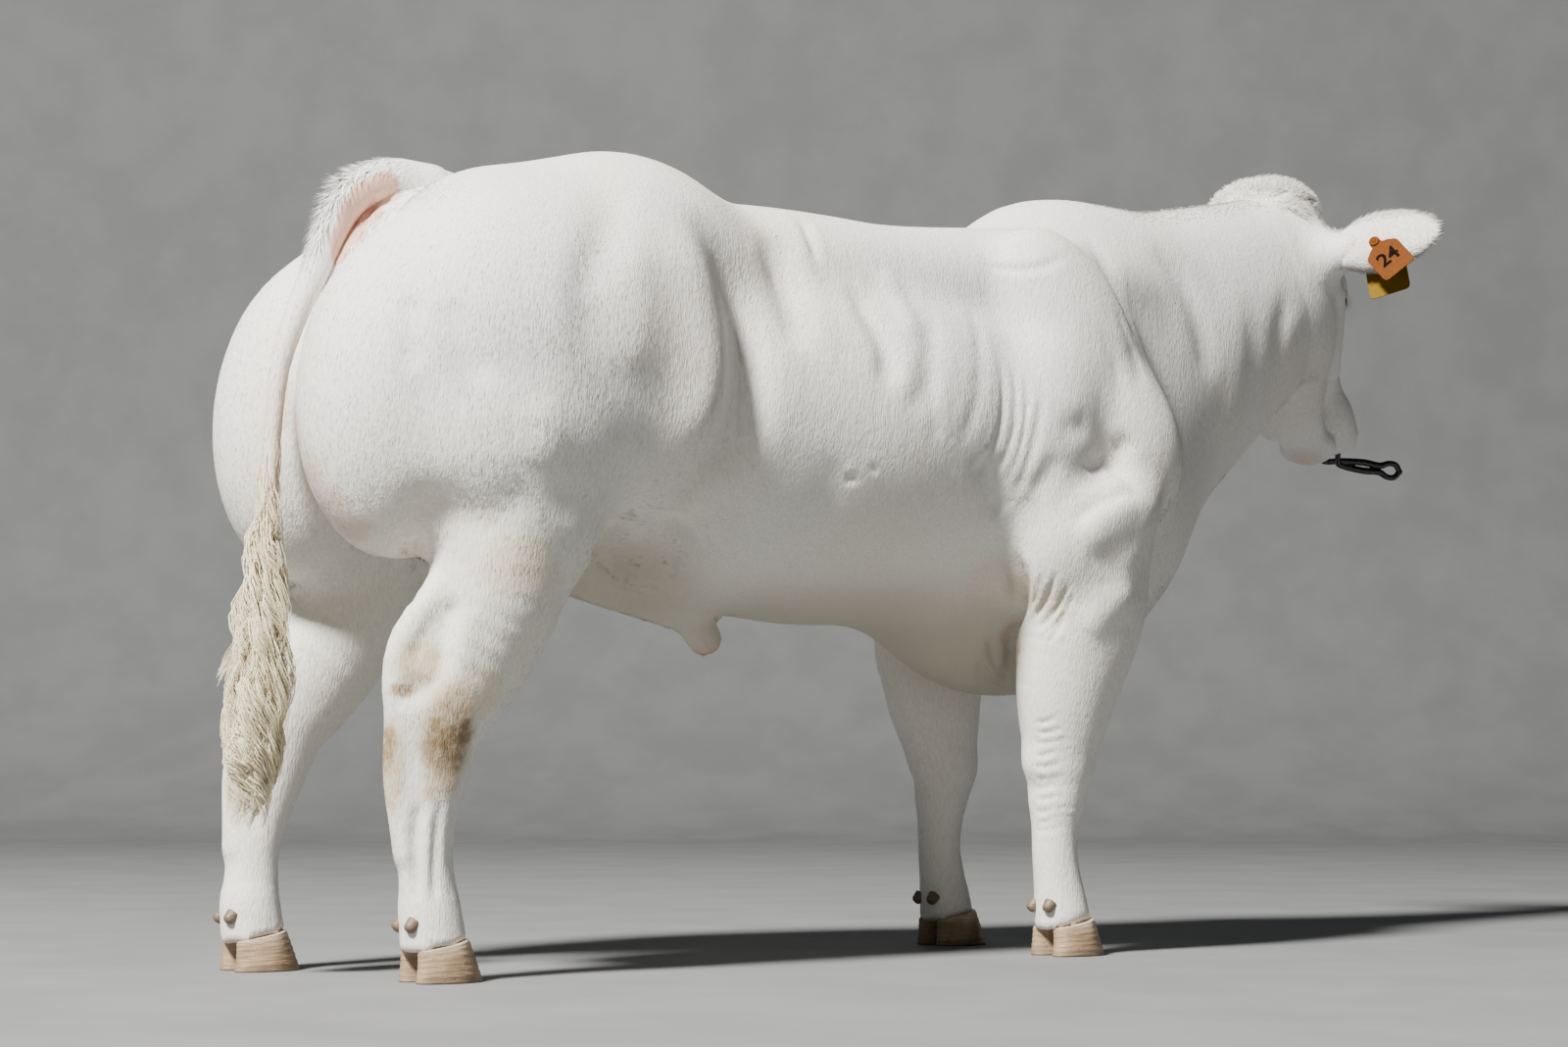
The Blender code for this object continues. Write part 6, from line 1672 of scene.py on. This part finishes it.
def makeStud(place):
    low = tag["tag_front"]["height"] - 0.0003
    high = tag["tag_back"]["height"] + tag["thickness"] + 0.0003
    rows = [(0.004, low - 0.0046), (0.0085, low - 0.0040), (0.0104, low - 0.0022), (0.0104, low),
            (0.0032, low), (0.0032, high), (0.0104, high), (0.0104, high + 0.0016),
            (0.0088, high + 0.0030), (0.0040, high + 0.0034), (0.0030, high + 0.0044),
            (0.0012, high + 0.0046)]
    return turnedPiece("tag_button", rows, place)


def plasticPaint(name, colour):
    paint = Paint(name, Roughness=0.6, Specular_IOR_Level=0.06)
    scuff = paint.noise(160.0, 4)
    dirt = paint.noise(45.0, 3)
    dark = tuple(0.62 * c for c in colour)
    tint = paint.blend(paint.smooth(dirt, 0.52, 0.75, 0.0, 0.35), colour, dark)
    tint = paint.blend(paint.smooth(scuff, 0.60, 0.74, 0.0, 0.18), tint, (0.30, 0.17, 0.06))
    paint.set("Base Color", tint)
    paint.set("Roughness", paint.smooth(scuff, 0.3, 0.7, 0.45, 0.65))
    paint.bump(scuff * 0.0003, 1.0)
    return paint.material


# The nose clamp

# Each row of a jaw: its place from the grip and its radius. Each row of an arm: how far along it, how
# far from its middle, and its radius.
clamp = {"grid": 0.0011, "neck": (0.018, 0, 0.003), "screwAlong": 0.030, "screwHalf": 0.007,
         "screwRadius": 0.0046, "middle": 0.07, "reach": (0.11, 0.09, 0.07),
         "jaw": [((-0.010, 0.0170, 0.004), 0.0066), ((0.002, 0.0195, 0.002), 0.0058),
                 ((0.017, 0.0150, 0.004), 0.0060)],
         "arm": [(0.022, 0.0045, 0.0066), (0.070, 0.0085, 0.0072), (0.104, 0.0065, 0.0070),
                 (0.122, 0.0140, 0.0060), (0.138, 0.0130, 0.0060), (0.148, 0.0000, 0.0060)]}
clampGrip = Vector((0.538, -0.004, -0.056))
clampWay = (intoHead @ Vector((0.138, -0.066, -0.020))).normalized()
clampAcross = clampWay.cross(intoHead @ Vector((0, 0, 1)).cross(clampWay)).normalized()


def shapeClamp(clay):
    neck = clampGrip + Vector(clamp["neck"])  # where the jaws end and the arms begin
    for side in (1, -1):
        stations = [(clampGrip + Vector((x, y * side, z)), radius) for (x, y, z), radius in clamp["jaw"]]
        for along, aside, radius in clamp["arm"]:
            stations.append((neck + along * clampWay + side * aside * clampAcross, radius))
        clay.chain(stations, soft=0.0015, base=head)
    screw, half = neck + clamp["screwAlong"] * clampWay, clamp["screwHalf"] * clampAcross
    radius = clamp["screwRadius"]
    clay.limb(screw - half, screw + half, radius, radius, soft=0.001, base=head)


def makeClamp():
    clay = Clay()
    shapeClamp(clay)
    middle = head @ (clampGrip + clamp["middle"] * clampWay)
    reach = Vector(clamp["reach"])
    points, quads = clay.surface(middle - reach, middle + reach, clamp["grid"], 0.0)
    made = newMesh("clamp", clay.pull(points, 0.0, 0.001), quads)
    made.data.shade_smooth()
    paint = Paint("black steel", Specular_IOR_Level=0.6)
    wear = paint.noise(120.0, 4)
    paint.set("Base Color", paint.blend(paint.smooth(wear, 0.58, 0.72), (0.010, 0.010, 0.012),
                                        (0.10, 0.085, 0.07)))
    paint.set("Roughness", paint.smooth(wear, 0.35, 0.70, 0.14, 0.38))
    paint.bump(wear * 0.0003, 1.0)
    return painted(made, paint.material)


def ready(piece, slot, *nodes):  # puts a piece in the middle of the floor, on the body
    piece.data.transform(Matrix.Translation(-centre))
    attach(piece, "root")
    if nodes:
        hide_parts(*nodes)


# Everything is made here

skinPiece = makeSkin()
skinPiece.data.shade_smooth()
unwrapped(skinPiece)
rooted = Rooted(skinPiece)
layCoat(skinPiece)
counted(skinPiece)

coatMaterial = coatPaint()
short, locks = coatTree(), strandTree()
coats = []
coatNames = ("coat_rump_right", "coat_rump_left", "coat_barrel_right", "coat_barrel_left",
             "coat_shoulder_right", "coat_shoulder_left", "coat_legs", "coat_head")
for number, name in enumerate(coatNames):
    density = coatSizes["perSquareMetre"] * (coatSizes["moreOnHead"] if name == "coat_head" else 1.0)
    sizes = {"Region": number, "Tufts per square metre": density, "Width": coatSizes["width"],
             "Thin": coatSizes["thin"], "Seed": 40 + number, "Material": coatMaterial}
    coats.append(grown(name, skinPiece, short, sizes))
switchMaterial = locksPaint("switch hair", (0.93, 0.85, 0.62), (0.60, 0.46, 0.24))
woolMaterial = locksPaint("poll hair", (0.92, 0.905, 0.87), (0.84, 0.80, 0.72))
fringeMaterial = locksPaint("ear fringe", (0.87, 0.85, 0.80), (0.76, 0.70, 0.60))
switchPiece = grown("switch_locks", strandMesh("switch", switchStrands(rooted)), locks,
                    {"Sides": 4, "Flatness": 0.5, "Material": switchMaterial})
woolPiece = grown("poll_wool", strandMesh("wool", woolStrands(rooted)), locks,
                  {"Sides": 3, "Flatness": 0.8, "Material": woolMaterial})
fringePiece = grown("ear_fringe", strandMesh("fringe", fringeStrands(rooted)), locks,
                    {"Sides": 4, "Flatness": 0.8, "Material": fringeMaterial})
print("coat grown")

for name in guides:
    skinPiece.data.attributes.remove(skinPiece.data.attributes[name])
painted(skinPiece, skinPaint())
ready(skinPiece, "coat", "torso", "neck", "head", "tail", "hindleg_right", "hindleg_left",
      "foreleg_right", "foreleg_left", "ear_left", "ear_right")
for piece in coats:
    ready(piece, "coat")
ready(switchPiece, "switch_hair", "tail_switch")
ready(woolPiece, "switch_hair")
ready(fringePiece, "coat")

for side, label in ((1, "left"), (-1, "right")):
    ready(makeEye("eyeball_" + label, side), "eye", "eye_" + label)
horn = hornPaint()
for leg, corner in legs.items():
    place = "hind" if leg.startswith("hind") else "fore"
    flank = "left" if leg.endswith("Left") else "right"
    for outer, label in ((1, "left"), (-1, "right")):
        node = f"{place}_{flank}_{label}"
        ready(makeClaw("hoof_" + node, corner, outer, horn), "horn", "claw_" + node)
        ready(makeDewclaw("small_hoof_" + node, corner, outer, horn), "horn", "dewclaw_" + node)
print("hooves and eyes made")

orange = plasticPaint("orange plastic", (0.115, 0.030, 0.0))
yellow = plasticPaint("yellow plastic", (0.15, 0.085, 0.0))
ink = Paint("black ink", Roughness=0.8, Specular_IOR_Level=0.03)
ink.set("Base Color", ink.blend(ink.smooth(ink.noise(300.0), 0.55, 0.75), (0.004, 0.003, 0.003),
                                (0.030, 0.010, 0.002)))
rightEar = earFrame(-1)
pinX, pinY = tag["pin"]
for name, material, slot in (("tag_back", orange, "tag_orange"), ("tag_front", yellow, "tag_yellow")):
    size = tag[name]
    place = rightEar @ Matrix.Translation((pinX, pinY, size["height"]))
    place = place @ Matrix.Rotation(math.radians(size["turn"]), 4, "Z")
    plate = makePlate(name.replace("tag_", "tag_plate_"), place, size)
    ready(painted(plate, material), slot, name)
    if name == "tag_back":
        face = place @ Matrix.Translation((tag["figurePlace"], 0, tag["thickness"] + 0.0001))
        face = face @ Matrix.Rotation(math.radians(90), 4, "Z")
        ready(numberOn("tag_figures", face, ink.material), slot)
stud = makeStud(rightEar @ Matrix.Translation((pinX, pinY, 0)))
ready(painted(stud, orange), "tag_orange", "tag_stud")
ready(makeClamp(), "clamp_black", "nose_clamp")
print("tag and clamp made")


# The floor, the light and the camera

floorSizes = {"front": 14.0, "bend": 9.0, "radius": 2.5, "top": 9.0, "halfWidth": 26.0, "steps": 12}
lights = {
    "key": {"place": (-9.0, -3.6, 10.7), "aim": (0, 0, 0.8), "size": 2.2, "power": 7700,
            "colour": (1.0, 0.98, 0.945)},
    "fill": {"place": (4.0, -4.6, 3.6), "aim": (0, 0, 0.8), "size": 4.0, "power": 4,
             "colour": (0.80, 0.88, 1.0)},
    "back": {"place": (2.6, 4.4, 3.6), "aim": (0, 0, 1.0), "size": 3.0, "power": 10,
             "colour": (0.94, 0.97, 1.0)},
}
sky = {"colour": (0.62, 0.74, 0.95, 1), "strength": 0.03}


def makeFloor():  # flat, then bent up behind the bull
    mesh = bpy.data.meshes.new("floor")
    bend, radius, steps = floorSizes["bend"], floorSizes["radius"], floorSizes["steps"]
    rows = [(-floorSizes["front"], 0.0), (bend, 0.0)]
    for angle in (a / steps * math.pi / 2 for a in range(1, steps + 1)):
        rows.append((bend + radius * math.sin(angle), radius - radius * math.cos(angle)))
    rows.append((bend + radius, floorSizes["top"]))
    points = [(side * floorSizes["halfWidth"], along, z) for along, z in rows for side in (-1, 1)]
    faces = [(2 * i, 2 * i + 1, 2 * i + 3, 2 * i + 2) for i in range(len(rows) - 1)]
    mesh.from_pydata(points, [], faces)
    mesh.transform(Matrix.Rotation(-turnAngle, 4, "Z"))
    mesh.shade_smooth()
    paint = Paint("studio floor", Roughness=0.75, Specular_IOR_Level=0.2)
    paint.set("Base Color", paint.blend(paint.smooth(paint.noise(3.0), 0.3, 0.7),
                                        (0.18, 0.183, 0.185), (0.205, 0.208, 0.21)))
    floor = painted(added("floor", mesh), paint.material)
    floor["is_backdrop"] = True


def softLight(name, place, aim, size, power, colour):
    data = bpy.data.lights.new(name, "AREA")
    data.shape, data.size, data.energy, data.color = "DISK", size, power, colour
    lamp = added(name, data)
    lamp.location = place
    lamp.rotation_euler = (Vector(aim) - Vector(place)).to_track_quat("-Z", "Y").to_euler()


makeFloor()
for name, light in lights.items():
    softLight(name, **light)
world = bpy.data.worlds.new("studio")
bpy.context.scene.world = world
world.use_nodes = True
background = world.node_tree.nodes["Background"]
background.inputs["Color"].default_value = sky["colour"]
background.inputs["Strength"].default_value = sky["strength"]

camera = added("camera", bpy.data.cameras.new("camera"))
camera.data.lens, camera.data.sensor_width = view["lens"], view["sensor"]
camera.data.sensor_fit = "HORIZONTAL"
camera.data.clip_end = 100
camera.location = cameraPoint - centre
camera.rotation_euler = forward.to_track_quat("-Z", "Y").to_euler()
bpy.context.scene.camera = camera

bpy.context.view_layer.update()
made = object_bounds()
sizes = {"cad": [list(cadBox[0]), list(cadBox[1])], "visual": [list(made[0]), list(made[1])]}
print("cad", [round(v, 4) for corner in sizes["cad"] for v in corner])
print("visual", [round(v, 4) for corner in sizes["visual"] for v in corner])
